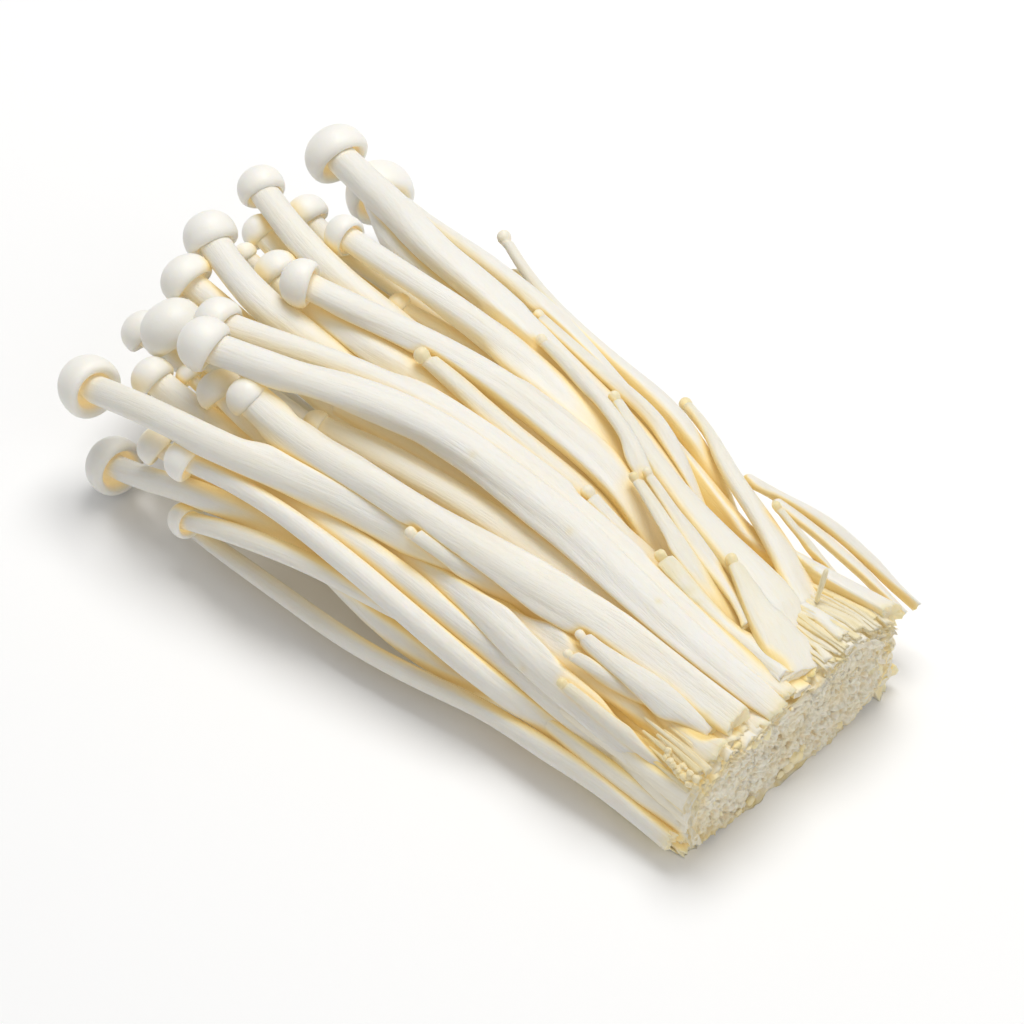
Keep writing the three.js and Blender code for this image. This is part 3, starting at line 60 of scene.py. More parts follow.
    ('mushroom_17', 4.01, 'slab', [(-40.48,-16.18,31.01,1.92,1.92),(-37.44,-15.54,31.37,1.92,1.92),(-34.42,-14.82,31.68,1.91,1.91),(-31.42,-13.95,31.9,1.91,1.91),(-28.46,-12.97,32.02,1.9,1.9),(-25.53,-11.9,32.06,1.9,1.9),(-22.61,-10.78,32.01,1.89,1.89),(-19.7,-9.65,31.87,1.89,1.89),(-16.79,-8.53,31.65,1.88,1.88),(-13.88,-7.44,31.35,1.88,1.88),(-10.95,-6.42,30.99,1.88,1.88),(-8,-5.48,30.58,1.87,1.87),(-5.02,-4.62,30.14,1.87,1.87),(-2.03,-3.85,29.69,1.86,1.86),(0.98,-3.17,29.23,1.86,1.86),(4.02,-2.58,28.78,1.85,1.85),(7.07,-2.1,28.34,1.85,1.85),(10.14,-1.72,27.9,1.84,1.84),(13.22,-1.43,27.48,1.84,1.84),(16.32,-1.22,27.07,1.83,1.83),(19.41,-1.08,26.67,1.83,1.83),(22.51,-0.99,26.28,1.82,1.82),(25.61,-0.97,25.9,1.82,1.82),(28.71,-1,25.51,1.82,1.82),(31.81,-1.08,25.1,1.81,1.81),(34.9,-1.18,24.68,1.79,1.81),(37.99,-1.29,24.23,1.78,1.8),(41.08,-1.39,23.77,1.78,1.8),(44.16,-1.46,23.28,1.77,1.79),(47.25,-1.5,22.77,1.77,1.79),(50.33,-1.48,22.24,1.75,1.78),(53.4,-1.43,21.69,1.71,1.78),(56.47,-1.32,21.12,1.7,1.78),(59.54,-1.17,20.55,1.72,1.77),(62.6,-0.98,19.97,1.77,1.77),(65.67,-0.77,19.39,1.76,1.76),(67.2,-0.66,19.1,1.74,1.76)]),
    ('mushroom_18', 4.33, 'slab', [(-35.55,-22.81,33.96,2.16,2.16),(-32.61,-22.01,34.15,2.15,2.15),(-29.7,-21.13,34.3,2.14,2.14),(-26.83,-20.1,34.34,2.02,2.13),(-24.01,-18.97,34.23,2.12,2.12),(-21.22,-17.75,34.03,2.1,2.1),(-18.47,-16.46,33.77,2.09,2.09),(-15.75,-15.13,33.47,2.08,2.08),(-13.03,-13.79,33.15,2.07,2.07),(-10.3,-12.48,32.81,2.06,2.06),(-7.55,-11.21,32.45,2.05,2.05),(-4.77,-10.04,32.08,2.04,2.04),(-1.93,-9,31.67,2.02,2.02),(0.95,-8.11,31.23,2.01,2.01),(3.87,-7.38,30.76,2,2),(6.82,-6.8,30.27,1.99,1.99),(9.79,-6.35,29.78,1.98,1.98),(12.77,-5.98,29.3,1.97,1.97),(15.77,-5.67,28.84,1.96,1.96),(18.78,-5.41,28.41,1.95,1.95),(21.79,-5.19,28.01,1.94,1.94),(24.8,-5.01,27.61,1.92,1.92),(27.82,-4.91,27.2,1.91,1.91),(30.84,-4.9,26.77,1.9,1.9),(33.84,-4.96,26.29,1.89,1.89),(36.85,-5.08,25.78,1.87,1.88),(39.84,-5.21,25.24,1.86,1.87),(42.83,-5.32,24.68,1.85,1.86),(45.82,-5.39,24.1,1.84,1.84),(48.81,-5.4,23.51,1.83,1.83),(51.8,-5.36,22.94,1.82,1.82),(54.79,-5.27,22.36,1.81,1.81),(57.78,-5.12,21.78,1.8,1.8),(60.77,-4.93,21.2,1.77,1.79),(63.75,-4.72,20.61,1.73,1.78),(66.72,-4.5,20,1.69,1.77),(68.05,-4.39,19.69,1.67,1.76)]),
    ('mushroom_19', 3.44, 'core', [(-45.14,-27.16,22.68,1.92,1.92),(-42.06,-26.88,22.09,1.92,1.92),(-38.97,-26.56,21.48,1.93,1.93),(-35.91,-26.18,20.83,1.93,1.93),(-32.86,-25.71,20.18,1.84,1.93),(-29.82,-25.14,19.53,1.93,1.93),(-26.81,-24.5,18.82,1.94,1.94),(-23.83,-23.82,18.02,1.94,1.94),(-20.88,-23.12,17.15,1.94,1.94),(-17.95,-22.39,16.22,1.94,1.94),(-15.03,-21.66,15.26,1.94,1.95),(-12.12,-20.93,14.31,1.95,1.95),(-9.18,-20.21,13.39,1.95,1.95),(-6.21,-19.55,12.55,1.9,1.96),(-3.2,-18.95,11.83,1.96,1.96),(-0.14,-18.42,11.22,1.96,1.96),(2.93,-17.94,10.69,1.96,1.96),(6.03,-17.51,10.23,1.97,1.97),(9.13,-17.12,9.81,1.97,1.97),(12.24,-16.76,9.42,1.97,1.97),(15.36,-16.43,9.06,1.98,1.98),(18.49,-16.13,8.73,1.98,1.98),(21.62,-15.86,8.42,1.98,1.98),(24.75,-15.62,8.14,1.98,1.98),(27.89,-15.4,7.88,1.99,1.99),(31.04,-15.21,7.64,1.99,1.99),(34.18,-15.05,7.42,1.99,1.99),(37.33,-14.9,7.23,2,2),(40.48,-14.75,7.02,2,2),(42.05,-14.73,7,1.99,2)]),
    ('mushroom_20', 5.18, 'core', [(-51.41,-35.42,21.94,1.92,1.92),(-48.51,-35.49,23.12,1.93,1.93),(-45.58,-35.48,24.21,1.94,1.94),(-42.59,-35.33,25.13,1.94,1.94),(-39.56,-35.05,25.87,1.95,1.95),(-36.51,-34.68,26.43,1.96,1.96),(-33.43,-34.24,26.83,1.97,1.97),(-30.36,-33.72,27.09,1.97,1.97),(-27.29,-33.12,27.2,1.96,1.98),(-24.24,-32.41,27.18,1.99,1.99),(-21.21,-31.61,27.07,2,2),(-18.22,-30.7,26.9,2,2),(-15.26,-29.71,26.68,2.01,2.01),(-12.33,-28.65,26.41,2.02,2.02),(-9.42,-27.53,26.09,2.03,2.03),(-6.53,-26.4,25.72,2.03,2.03),(-3.63,-25.29,25.28,2.04,2.04),(-0.72,-24.25,24.77,2.02,2.05),(2.2,-23.28,24.2,2.03,2.06),(5.13,-22.35,23.62,2.04,2.06),(8.07,-21.44,23.05,2.06,2.07),(11.01,-20.52,22.49,2.07,2.08),(13.93,-19.57,21.91,1.94,2.09),(16.83,-18.57,21.28,1.98,2.1),(19.7,-17.53,20.57,1.91,2.1),(22.54,-16.48,19.79,1.73,2.11),(25.39,-15.5,18.94,1.82,2.12),(28.3,-14.72,18.07,2.1,2.13),(31.27,-14.22,17.25,1.97,2.13),(34.32,-14.05,16.58,1.77,2.14),(37.41,-14.18,16.1,1.75,2.15),(40.49,-14.62,15.78,1.88,2.16),(42.05,-14.73,15.8,1.86,2.16)]),
    ('mushroom_21', 3.62, 'core', [(-32.96,-22.92,25.36,1.6,1.6),(-29.85,-23.02,24.81,1.61,1.61),(-26.74,-23.04,24.26,1.58,1.61),(-23.64,-22.93,23.72,1.62,1.62),(-20.54,-22.67,23.14,1.63,1.63),(-17.48,-22.23,22.53,1.63,1.63),(-14.45,-21.61,21.88,1.64,1.64),(-11.47,-20.84,21.19,1.65,1.65),(-8.52,-19.95,20.48,1.65,1.65),(-5.6,-19,19.75,1.66,1.66),(-2.68,-18.04,19,1.66,1.66),(0.25,-17.14,18.26,1.67,1.67),(3.22,-16.36,17.52,1.64,1.68),(6.23,-15.76,16.77,1.63,1.68),(9.28,-15.36,16.06,1.67,1.69),(12.35,-15.13,15.39,1.7,1.7),(15.45,-15.02,14.77,1.7,1.7),(18.55,-14.99,14.2,1.7,1.71),(21.67,-14.99,13.68,1.71,1.72),(24.79,-15,13.21,1.72,1.72),(27.92,-15.01,12.79,1.73,1.73),(31.06,-14.99,12.41,1.73,1.74),(34.19,-14.93,12.07,1.73,1.74),(37.34,-14.84,11.76,1.75,1.75),(40.48,-14.72,11.44,1.75,1.76),(42.05,-14.73,11.4,1.68,1.76)]),
    ('mushroom_22', 3.38, 'slab', [(-25.43,-23.07,29.54,2.16,2.16),(-22.29,-23.19,29.33,2.15,2.15),(-19.15,-23.25,29.1,2.14,2.14),(-16.01,-23.2,28.86,2.14,2.14),(-12.87,-23,28.62,2.13,2.13),(-9.75,-22.64,28.4,2.12,2.12),(-6.64,-22.16,28.22,2.11,2.11),(-3.55,-21.58,28.05,2.1,2.1),(-0.46,-20.98,27.86,2.07,2.1),(2.63,-20.39,27.63,2.06,2.09),(5.71,-19.84,27.33,2.06,2.08),(8.8,-19.31,26.98,2.06,2.07),(11.88,-18.8,26.6,2.05,2.06),(14.97,-18.28,26.21,2.06,2.06),(18.05,-17.73,25.83,1.98,2.05),(21.12,-17.17,25.45,1.9,2.04),(24.2,-16.6,25.05,1.88,2.03),(27.26,-16.01,24.63,1.98,2.02),(30.33,-15.4,24.22,2.02,2.02),(33.39,-14.77,23.82,2.01,2.01),(36.45,-14.15,23.44,2,2),(39.52,-13.56,23.06,1.99,1.99),(42.61,-13.04,22.67,1.98,1.98),(45.7,-12.61,22.26,1.98,1.98),(48.8,-12.28,21.82,1.97,1.97),(51.91,-12.03,21.38,1.96,1.96),(55.03,-11.84,20.93,1.95,1.95),(58.14,-11.67,20.5,1.94,1.94),(61.26,-11.5,20.1,1.94,1.94),(64.39,-11.31,19.72,1.79,1.93),(67.51,-11.11,19.35,1.92,1.92)]),
    ('mushroom_23', 2.26, 'slab', [(-15.87,-17.29,26.27,1.6,1.6),(-12.82,-16.52,26.01,1.61,1.61),(-9.78,-15.75,25.75,1.61,1.61),(-6.73,-14.97,25.49,1.62,1.62),(-3.68,-14.21,25.21,1.62,1.62),(-0.63,-13.49,24.93,1.63,1.63),(2.44,-12.81,24.64,1.64,1.64),(5.52,-12.17,24.36,1.64,1.64),(8.61,-11.6,24.08,1.65,1.65),(11.71,-11.1,23.8,1.65,1.65),(14.82,-10.69,23.53,1.66,1.66),(17.95,-10.37,23.24,1.66,1.66),(21.08,-10.14,22.95,1.67,1.67),(24.22,-9.98,22.65,1.68,1.68),(27.36,-9.84,22.34,1.68,1.68),(30.49,-9.7,22.04,1.69,1.69),(33.63,-9.52,21.74,1.7,1.7),(36.76,-9.3,21.45,1.7,1.7),(39.89,-9.06,21.14,1.71,1.71),(43.02,-8.82,20.81,1.71,1.71),(46.14,-8.59,20.45,1.72,1.72),(49.27,-8.37,20.06,1.72,1.72),(52.39,-8.18,19.65,1.73,1.73),(55.51,-8.01,19.23,1.74,1.74),(58.63,-7.85,18.8,1.74,1.74),(61.75,-7.71,18.37,1.71,1.75),(64.88,-7.58,17.93,1.69,1.75),(68,-7.47,17.52,1.67,1.76)]),
    ('mushroom_24', 0, 'core', [(-17.11,-11.24,25.5,1.6,1.6),(-14.07,-10.69,25.08,1.61,1.61),(-11.03,-10.13,24.68,1.62,1.62),(-7.99,-9.59,24.26,1.62,1.62),(-4.95,-9.05,23.86,1.63,1.63),(-1.91,-8.54,23.46,1.64,1.64),(1.14,-8.04,23.06,1.65,1.65),(4.19,-7.56,22.68,1.66,1.66),(7.25,-7.11,22.32,1.67,1.67),(10.32,-6.68,21.97,1.67,1.67),(13.39,-6.26,21.64,1.68,1.68),(16.46,-5.87,21.32,1.69,1.69),(19.53,-5.5,21,1.7,1.7),(22.61,-5.19,20.66,1.71,1.71),(25.69,-5.01,20.23,1.72,1.72),(28.75,-5.03,19.67,1.72,1.72),(31.77,-5.27,18.94,1.73,1.73),(34.74,-5.66,18.08,1.74,1.74),(37.68,-6.11,17.15,1.69,1.75),(40.51,-6.65,16,1.58,1.76),(42.05,-6.73,15.8,1.64,1.76)]),
    ('mushroom_25', 3.07, 'core', [(-36.86,-33.75,17.66,1.44,1.44),(-33.83,-33.12,17.21,1.45,1.45),(-30.81,-32.43,16.75,1.45,1.45),(-27.81,-31.67,16.27,1.41,1.46),(-24.83,-30.87,15.77,1.43,1.46),(-21.86,-30.06,15.23,1.47,1.47),(-18.89,-29.24,14.67,1.48,1.48),(-15.93,-28.42,14.09,1.48,1.48),(-12.96,-27.61,13.51,1.49,1.49),(-9.99,-26.81,12.93,1.5,1.5),(-7.02,-26.03,12.36,1.5,1.5),(-4.03,-25.27,11.8,1.51,1.51),(-1.04,-24.53,11.26,1.51,1.51),(1.97,-23.83,10.75,1.52,1.52),(4.99,-23.17,10.27,1.53,1.53),(8.02,-22.54,9.81,1.53,1.53),(11.06,-21.96,9.39,1.54,1.54),(14.12,-21.42,9,1.54,1.54),(17.19,-20.93,8.64,1.55,1.55),(20.27,-20.5,8.32,1.56,1.56),(23.37,-20.12,8.04,1.56,1.56),(26.47,-19.78,7.79,1.57,1.57),(29.58,-19.5,7.58,1.58,1.58),(32.69,-19.25,7.4,1.58,1.58),(35.81,-19.05,7.24,1.59,1.59),(38.93,-18.87,7.1,1.59,1.59),(42.05,-18.73,7,1.59,1.6)]),
    ('mushroom_26', 3.36, 'slab', [(-27.96,-34.71,21.65,1.6,1.6),(-24.9,-34.25,22.13,1.61,1.61),(-21.83,-33.8,22.53,1.62,1.62),(-18.75,-33.35,22.82,1.64,1.64),(-15.65,-32.93,22.97,1.65,1.65),(-12.55,-32.52,22.99,1.63,1.66),(-9.44,-32.14,22.87,1.63,1.68),(-6.35,-31.77,22.59,1.65,1.69),(-3.27,-31.41,22.18,1.66,1.7),(-0.2,-31.06,21.65,1.68,1.71),(2.85,-30.72,21.02,1.7,1.73),(5.88,-30.39,20.34,1.72,1.74),(8.91,-30.06,19.61,1.74,1.75),(11.93,-29.75,18.86,1.76,1.76),(14.95,-29.44,18.1,1.77,1.78),(17.97,-29.12,17.33,1.78,1.79),(20.98,-28.79,16.54,1.8,1.8),(23.98,-28.43,15.73,1.82,1.82),(26.96,-28.02,14.87,1.83,1.83),(29.91,-27.53,13.95,1.84,1.84),(32.83,-26.93,12.97,1.85,1.85),(35.69,-26.2,11.93,1.87,1.87),(38.5,-25.36,10.85,1.88,1.88),(41.27,-24.45,9.72,1.72,1.89),(44.04,-23.61,8.53,1.67,1.9),(46.86,-22.95,7.33,1.75,1.92),(49.74,-22.5,6.19,1.85,1.93),(52.68,-22.21,5.18,1.93,1.94),(55.68,-22.01,4.3,1.96,1.96),(58.71,-21.87,3.54,1.97,1.97),(61.77,-21.74,2.86,1.98,1.98),(64.83,-21.62,2.24,1.99,1.99),(66.37,-21.56,2,2,2)]),
    ('mushroom_27', 0, 'slab', [(-31.64,-29.7,18.79,1.6,1.6),(-28.56,-29.83,19.3,1.6,1.61),(-25.48,-29.98,19.79,1.62,1.62),(-22.39,-30.09,20.24,1.62,1.62),(-19.29,-30.08,20.58,1.63,1.63),(-16.18,-29.91,20.8,1.64,1.64),(-13.07,-29.57,20.9,1.61,1.64),(-9.99,-29.1,20.91,1.61,1.65),(-6.91,-28.57,20.86,1.62,1.66),(-3.83,-28.03,20.76,1.63,1.67),(-0.76,-27.51,20.63,1.64,1.67),(2.33,-27.03,20.46,1.66,1.68),(5.41,-26.61,20.25,1.67,1.69),(8.51,-26.26,19.98,1.68,1.7),(11.6,-25.97,19.63,1.7,1.7),(14.68,-25.72,19.21,1.7,1.71),(17.76,-25.48,18.72,1.67,1.72),(20.82,-25.2,18.17,1.63,1.73),(23.87,-24.87,17.6,1.62,1.73),(26.92,-24.5,17.04,1.65,1.74),(29.98,-24.12,16.51,1.7,1.75),(33.04,-23.76,16.02,1.76,1.76),(36.11,-23.43,15.51,1.76,1.76),(39.17,-23.12,14.97,1.77,1.77),(42.22,-22.82,14.39,1.78,1.78),(45.27,-22.49,13.77,1.78,1.78),(48.31,-22.14,13.14,1.79,1.79),(51.34,-21.77,12.49,1.8,1.8),(54.38,-21.43,11.85,1.81,1.81),(57.43,-21.13,11.23,1.81,1.81),(60.49,-20.89,10.66,1.8,1.82),(63.57,-20.73,10.15,1.79,1.83),(66.66,-20.74,9.71,1.82,1.84),(68.05,-20.74,9.49,1.84,1.84)]),
    ('mushroom_28', 0, 'slab', [(-9.72,-24.76,17.66,1.6,1.6),(-6.59,-24.36,17.8,1.61,1.61),(-3.46,-23.96,17.93,1.59,1.61),(-0.33,-23.54,18.07,1.59,1.62),(2.8,-23.13,18.22,1.6,1.63),(5.93,-22.74,18.38,1.61,1.63),(9.07,-22.39,18.56,1.63,1.64),(12.21,-22.12,18.77,1.59,1.64),(15.35,-21.96,19.03,1.52,1.65),(18.5,-21.9,19.32,1.58,1.66),(21.65,-21.94,19.58,1.56,1.66),(24.8,-22.08,19.77,1.57,1.67),(27.95,-22.28,19.83,1.61,1.68),(31.1,-22.5,19.77,1.64,1.68),(34.25,-22.65,19.56,1.62,1.69),(37.39,-22.71,19.22,1.62,1.7),(40.52,-22.63,18.76,1.64,1.7),(43.62,-22.44,18.19,1.67,1.71),(46.7,-22.16,17.55,1.69,1.72),(49.78,-21.85,16.88,1.7,1.72),(52.84,-21.51,16.19,1.71,1.73),(55.91,-21.15,15.52,1.72,1.73),(58.98,-20.74,14.89,1.73,1.74),(62.05,-20.27,14.3,1.72,1.75),(65.11,-19.75,13.74,1.72,1.75),(68.05,-19.29,13.23,1.69,1.76)]),
    ('mushroom_29', 0, 'slab', [(-4.32,-21.06,15.75,1.71,1.76),(-1.16,-20.58,15.93,1.74,1.77),(2,-20.12,16.11,1.75,1.77),(5.16,-19.68,16.28,1.73,1.78),(8.33,-19.3,16.44,1.74,1.79),(11.51,-18.98,16.56,1.8,1.8),(14.7,-18.79,16.65,1.8,1.8),(17.89,-18.74,16.74,1.78,1.81),(21.08,-18.81,16.91,1.54,1.82),(24.26,-18.92,17.24,1.5,1.82),(27.43,-19.01,17.69,1.68,1.83),(30.59,-19.05,18.16,1.76,1.84),(33.76,-19.06,18.56,1.37,1.84),(36.94,-18.99,18.83,1.25,1.85),(40.14,-18.83,18.9,1.52,1.86),(43.32,-18.58,18.74,1.6,1.87),(46.48,-18.31,18.37,1.84,1.87),(49.63,-18.02,17.9,1.85,1.88),(52.78,-17.72,17.41,1.79,1.89),(55.93,-17.41,16.97,1.79,1.9),(59.09,-17.07,16.6,1.83,1.9),(62.25,-16.73,16.27,1.85,1.91),(65.41,-16.38,15.96,1.89,1.92),(66.99,-16.21,15.82,1.9,1.92)]),
    ('mushroom_30', 4.68, 'core', [(-47.93,-35.1,5.61,2,2),(-45.19,-35.42,7.05,2,2),(-42.45,-35.72,8.52,1.99,1.99),(-39.72,-35.95,10.01,1.98,1.98),(-36.97,-36.07,11.46,1.98,1.98),(-34.16,-36.03,12.82,1.97,1.97),(-31.3,-35.81,14.03,1.97,1.97),(-28.36,-35.41,14.99,1.82,1.96),(-25.37,-34.84,15.68,1.88,1.96),(-22.37,-34.13,16.1,1.95,1.95),(-19.37,-33.3,16.31,1.92,1.95),(-16.39,-32.41,16.34,1.94,1.94),(-13.4,-31.53,16.2,1.94,1.94),(-10.4,-30.73,15.9,1.93,1.93),(-7.39,-30.09,15.41,1.93,1.93),(-4.38,-29.65,14.74,1.92,1.92),(-1.38,-29.4,13.91,1.92,1.92),(1.59,-29.27,12.98,1.91,1.91),(4.55,-29.18,12,1.91,1.91),(7.5,-29.05,11,1.9,1.9),(10.45,-28.8,10.03,1.9,1.9),(13.4,-28.42,9.09,1.89,1.89),(16.34,-27.89,8.2,1.89,1.89),(19.26,-27.25,7.34,1.83,1.88),(22.19,-26.52,6.54,1.79,1.88),(25.1,-25.69,5.8,1.87,1.87),(27.99,-24.72,5.15,1.87,1.87),(30.84,-23.61,4.56,1.86,1.86),(33.65,-22.39,4,1.86,1.86),(36.45,-21.11,3.48,1.85,1.85),(39.24,-19.81,2.98,1.84,1.84),(42.05,-18.73,2.6,1.84,1.84)]),
    ('mushroom_31', 3.06, 'core', [(-26.68,-36.92,10.21,1.68,1.68),(-24.03,-36.97,11.73,1.69,1.69),(-21.33,-36.94,13.17,1.71,1.71),(-18.56,-36.78,14.45,1.69,1.72),(-15.71,-36.45,15.52,1.73,1.73),(-12.81,-35.96,16.34,1.75,1.75),(-9.87,-35.35,16.92,1.76,1.76),(-6.92,-34.62,17.25,1.77,1.77),(-3.98,-33.79,17.35,1.79,1.79),(-1.06,-32.89,17.22,1.8,1.8),(1.83,-31.94,16.9,1.81,1.81),(4.69,-30.97,16.43,1.83,1.83),(7.53,-29.98,15.85,1.84,1.84),(10.35,-28.97,15.25,1.85,1.85),(13.16,-27.92,14.66,1.87,1.87),(15.98,-26.85,14.11,1.88,1.88),(18.8,-25.78,13.6,1.89,1.89),(21.63,-24.72,13.14,1.91,1.91),(24.48,-23.68,12.74,1.92,1.92),(27.35,-22.69,12.4,1.93,1.93),(30.25,-21.76,12.11,1.95,1.95),(33.17,-20.9,11.87,1.96,1.96),(36.12,-20.1,11.68,1.97,1.97),(39.08,-19.36,11.51,1.99,1.99),(42.05,-18.73,11.4,1.9,2)]),
    ('mushroom_32', 0, 'slab', [(-33.1,-34.28,4.43,1.52,1.52),(-29.98,-34.54,4.89,1.53,1.53),(-26.87,-34.78,5.34,1.54,1.54),(-23.74,-34.95,5.76,1.55,1.55),(-20.61,-35.01,6.11,1.56,1.56),(-17.46,-34.97,6.38,1.57,1.57),(-14.31,-34.84,6.53,1.58,1.58),(-11.16,-34.67,6.59,1.59,1.59),(-8.01,-34.45,6.57,1.6,1.6),(-4.86,-34.21,6.49,1.61,1.61),(-1.72,-33.96,6.38,1.62,1.62),(1.43,-33.69,6.27,1.63,1.63),(4.57,-33.38,6.18,1.64,1.64),(7.7,-33.02,6.12,1.65,1.65),(10.83,-32.59,6.12,1.66,1.66),(13.95,-32.09,6.17,1.67,1.67),(17.05,-31.52,6.25,1.68,1.68),(20.15,-30.9,6.35,1.64,1.69),(23.23,-30.21,6.47,1.62,1.7),(26.29,-29.48,6.59,1.71,1.71),(29.37,-28.77,6.72,1.72,1.72),(32.46,-28.16,6.86,1.73,1.73),(35.58,-27.71,7.01,1.74,1.74),(38.72,-27.4,7.14,1.75,1.75),(41.87,-27.17,7.24,1.6,1.76),(45.02,-26.9,7.31,1.55,1.77),(48.15,-26.53,7.32,1.63,1.78),(51.27,-26.09,7.2,1.74,1.79),(54.39,-25.66,6.94,1.8,1.8),(57.5,-25.3,6.56,1.81,1.81),(60.61,-25.01,6.1,1.82,1.82),(63.72,-24.77,5.6,1.83,1.83),(66.83,-24.55,5.09,1.84,1.84)]),
    ('slender_mushroom_01', 1.54, 'core', [(-31.01,38.83,20.9,0.88,0.88),(-28.02,37.88,20.48,0.93,0.93),(-25.02,36.96,20.12,0.97,0.97),(-21.99,36.1,19.89,1.02,1.02),(-18.95,35.24,19.86,1.06,1.06),(-15.93,34.34,20.08,1.11,1.11),(-12.93,33.42,20.47,1.15,1.15),(-9.92,32.57,20.86,1.2,1.2),(-6.85,31.87,21.1,1.25,1.25),(-3.73,31.34,21.17,1.29,1.29),(-0.6,30.97,21.1,1.34,1.34),(2.55,30.71,20.94,1.38,1.38),(5.7,30.55,20.73,1.43,1.43),(8.85,30.42,20.52,1.47,1.47),(12,30.27,20.3,1.52,1.52),(15.14,30.03,20.05,1.57,1.57),(18.25,29.62,19.7,1.61,1.61),(21.31,29.03,19.16,1.53,1.66),(24.28,28.35,18.35,1.27,1.7),(27.16,27.58,17.3,1.51,1.75),(29.91,26.62,16.07,1.79,1.79),(32.57,25.52,14.78,1.83,1.84),(35.22,24.31,13.55,1.86,1.89),(37.9,23.01,12.49,1.92,1.93),(40.5,21.51,11.54,1.94,1.98),(42.05,21.27,11.4,1.92,2)]),
    ('mushroom_33', 0, 'core', [(-52.41,35.94,16.44,1.36,1.6),(-49.6,34.97,17.48,1.61,1.61),(-46.77,34.05,18.52,1.62,1.62),(-43.93,33.19,19.58,1.63,1.63),(-41.05,32.42,20.6,1.64,1.64),(-38.12,31.76,21.53,1.65,1.65),(-35.12,31.22,22.33,1.66,1.66),(-32.08,30.77,22.99,1.67,1.67),(-28.99,30.39,23.49,1.68,1.68),(-25.88,30.07,23.86,1.69,1.69),(-22.75,29.79,24.11,1.7,1.7),(-19.61,29.57,24.24,1.71,1.71),(-16.47,29.39,24.27,1.72,1.72),(-13.32,29.19,24.22,1.73,1.73),(-10.19,28.91,24.09,1.69,1.74),(-7.07,28.51,23.91,1.76,1.76),(-3.97,28.02,23.68,1.76,1.76),(-0.88,27.49,23.4,1.78,1.78),(2.21,26.93,23.07,1.79,1.79),(5.28,26.38,22.69,1.78,1.8),(8.36,25.85,22.28,1.79,1.81),(11.44,25.37,21.82,1.82,1.82),(14.52,24.92,21.31,1.83,1.83),(17.59,24.5,20.77,1.84,1.84),(20.66,24.09,20.19,1.85,1.85),(23.72,23.7,19.57,1.86,1.86),(26.78,23.31,18.92,1.87,1.87),(29.83,22.92,18.26,1.87,1.88),(32.89,22.52,17.6,1.84,1.89),(35.94,22.09,16.96,1.84,1.9),(39,21.65,16.34,1.89,1.91),(42.05,21.27,15.8,1.91,1.92)]),
    ('slender_mushroom_02', 1.16, 'core', [(-9.69,25.8,25.08,0.8,0.8),(-6.51,25.47,25.11,0.82,0.82),(-3.32,25.17,25.14,0.84,0.85),(-0.13,24.91,25.18,0.87,0.87),(3.06,24.7,25.19,0.89,0.89),(6.25,24.57,25.14,0.91,0.92),(9.45,24.51,24.98,0.94,0.94),(12.64,24.47,24.71,0.96,0.96),(15.81,24.35,24.32,0.99,0.99),(18.96,24.03,23.82,1.01,1.01),(22.05,23.47,23.24,1.03,1.03),(25.07,22.7,22.54,1.06,1.06),(28.03,21.81,21.7,1.08,1.08),(30.92,20.87,20.72,1.1,1.11),(33.76,19.94,19.56,1.1,1.13),(36.54,19.04,18.26,1.11,1.15),(39.3,18.17,16.9,1.15,1.18),(42.05,17.27,15.8,1.16,1.2)]),
    ('slender_mushroom_03', 1.2, 'core', [(-2.7,19.7,28.63,0.8,0.8),(0.39,19.54,28.39,0.83,0.83),(3.48,19.31,28.23,0.86,0.86),(6.56,18.9,28.17,0.89,0.89),(9.6,18.31,28.19,0.92,0.92),(12.62,17.59,28.24,0.84,0.95),(15.63,16.83,28.14,0.98,0.98),(18.61,16.02,27.9,1.01,1.01),(21.55,15.1,27.51,1.03,1.04),(24.39,14.04,26.86,1.03,1.07),(27.1,12.93,25.84,1.02,1.1),(29.7,11.99,24.45,1.03,1.13),(32.23,11.35,22.76,1.11,1.16),(34.66,10.8,20.92,1.15,1.19),(37.06,10.19,19.05,1.21,1.22),(39.48,9.56,17.22,1.23,1.25),(42.05,9.27,15.8,1.21,1.28)]),
    ('slender_mushroom_04', 1.69, 'core', [(-11.15,1.25,32.03,1.04,1.04),(-8.15,1.64,31.26,1.08,1.08),(-5.13,1.95,30.51,1.12,1.12),(-2.1,2.18,29.8,1.16,1.16),(0.94,2.38,29.12,1.19,1.2),(3.98,2.57,28.42,1.23,1.24),(7.01,2.74,27.71,1.27,1.28),(10.04,2.92,27,1.31,1.32),(13.08,3.11,26.28,1.35,1.36),(16.11,3.32,25.55,1.39,1.4),(19.13,3.52,24.79,1.44,1.44),(22.14,3.68,24,1.48,1.48),(25.14,3.74,23.11,1.52,1.52),(28.09,3.63,22.1,1.56,1.56),(30.98,3.34,20.96,1.6,1.6),(33.8,2.92,19.7,1.64,1.64),(36.59,2.39,18.38,1.66,1.68),(39.34,1.81,17.03,1.62,1.72),(42.05,1.27,15.8,1.64,1.76)]),
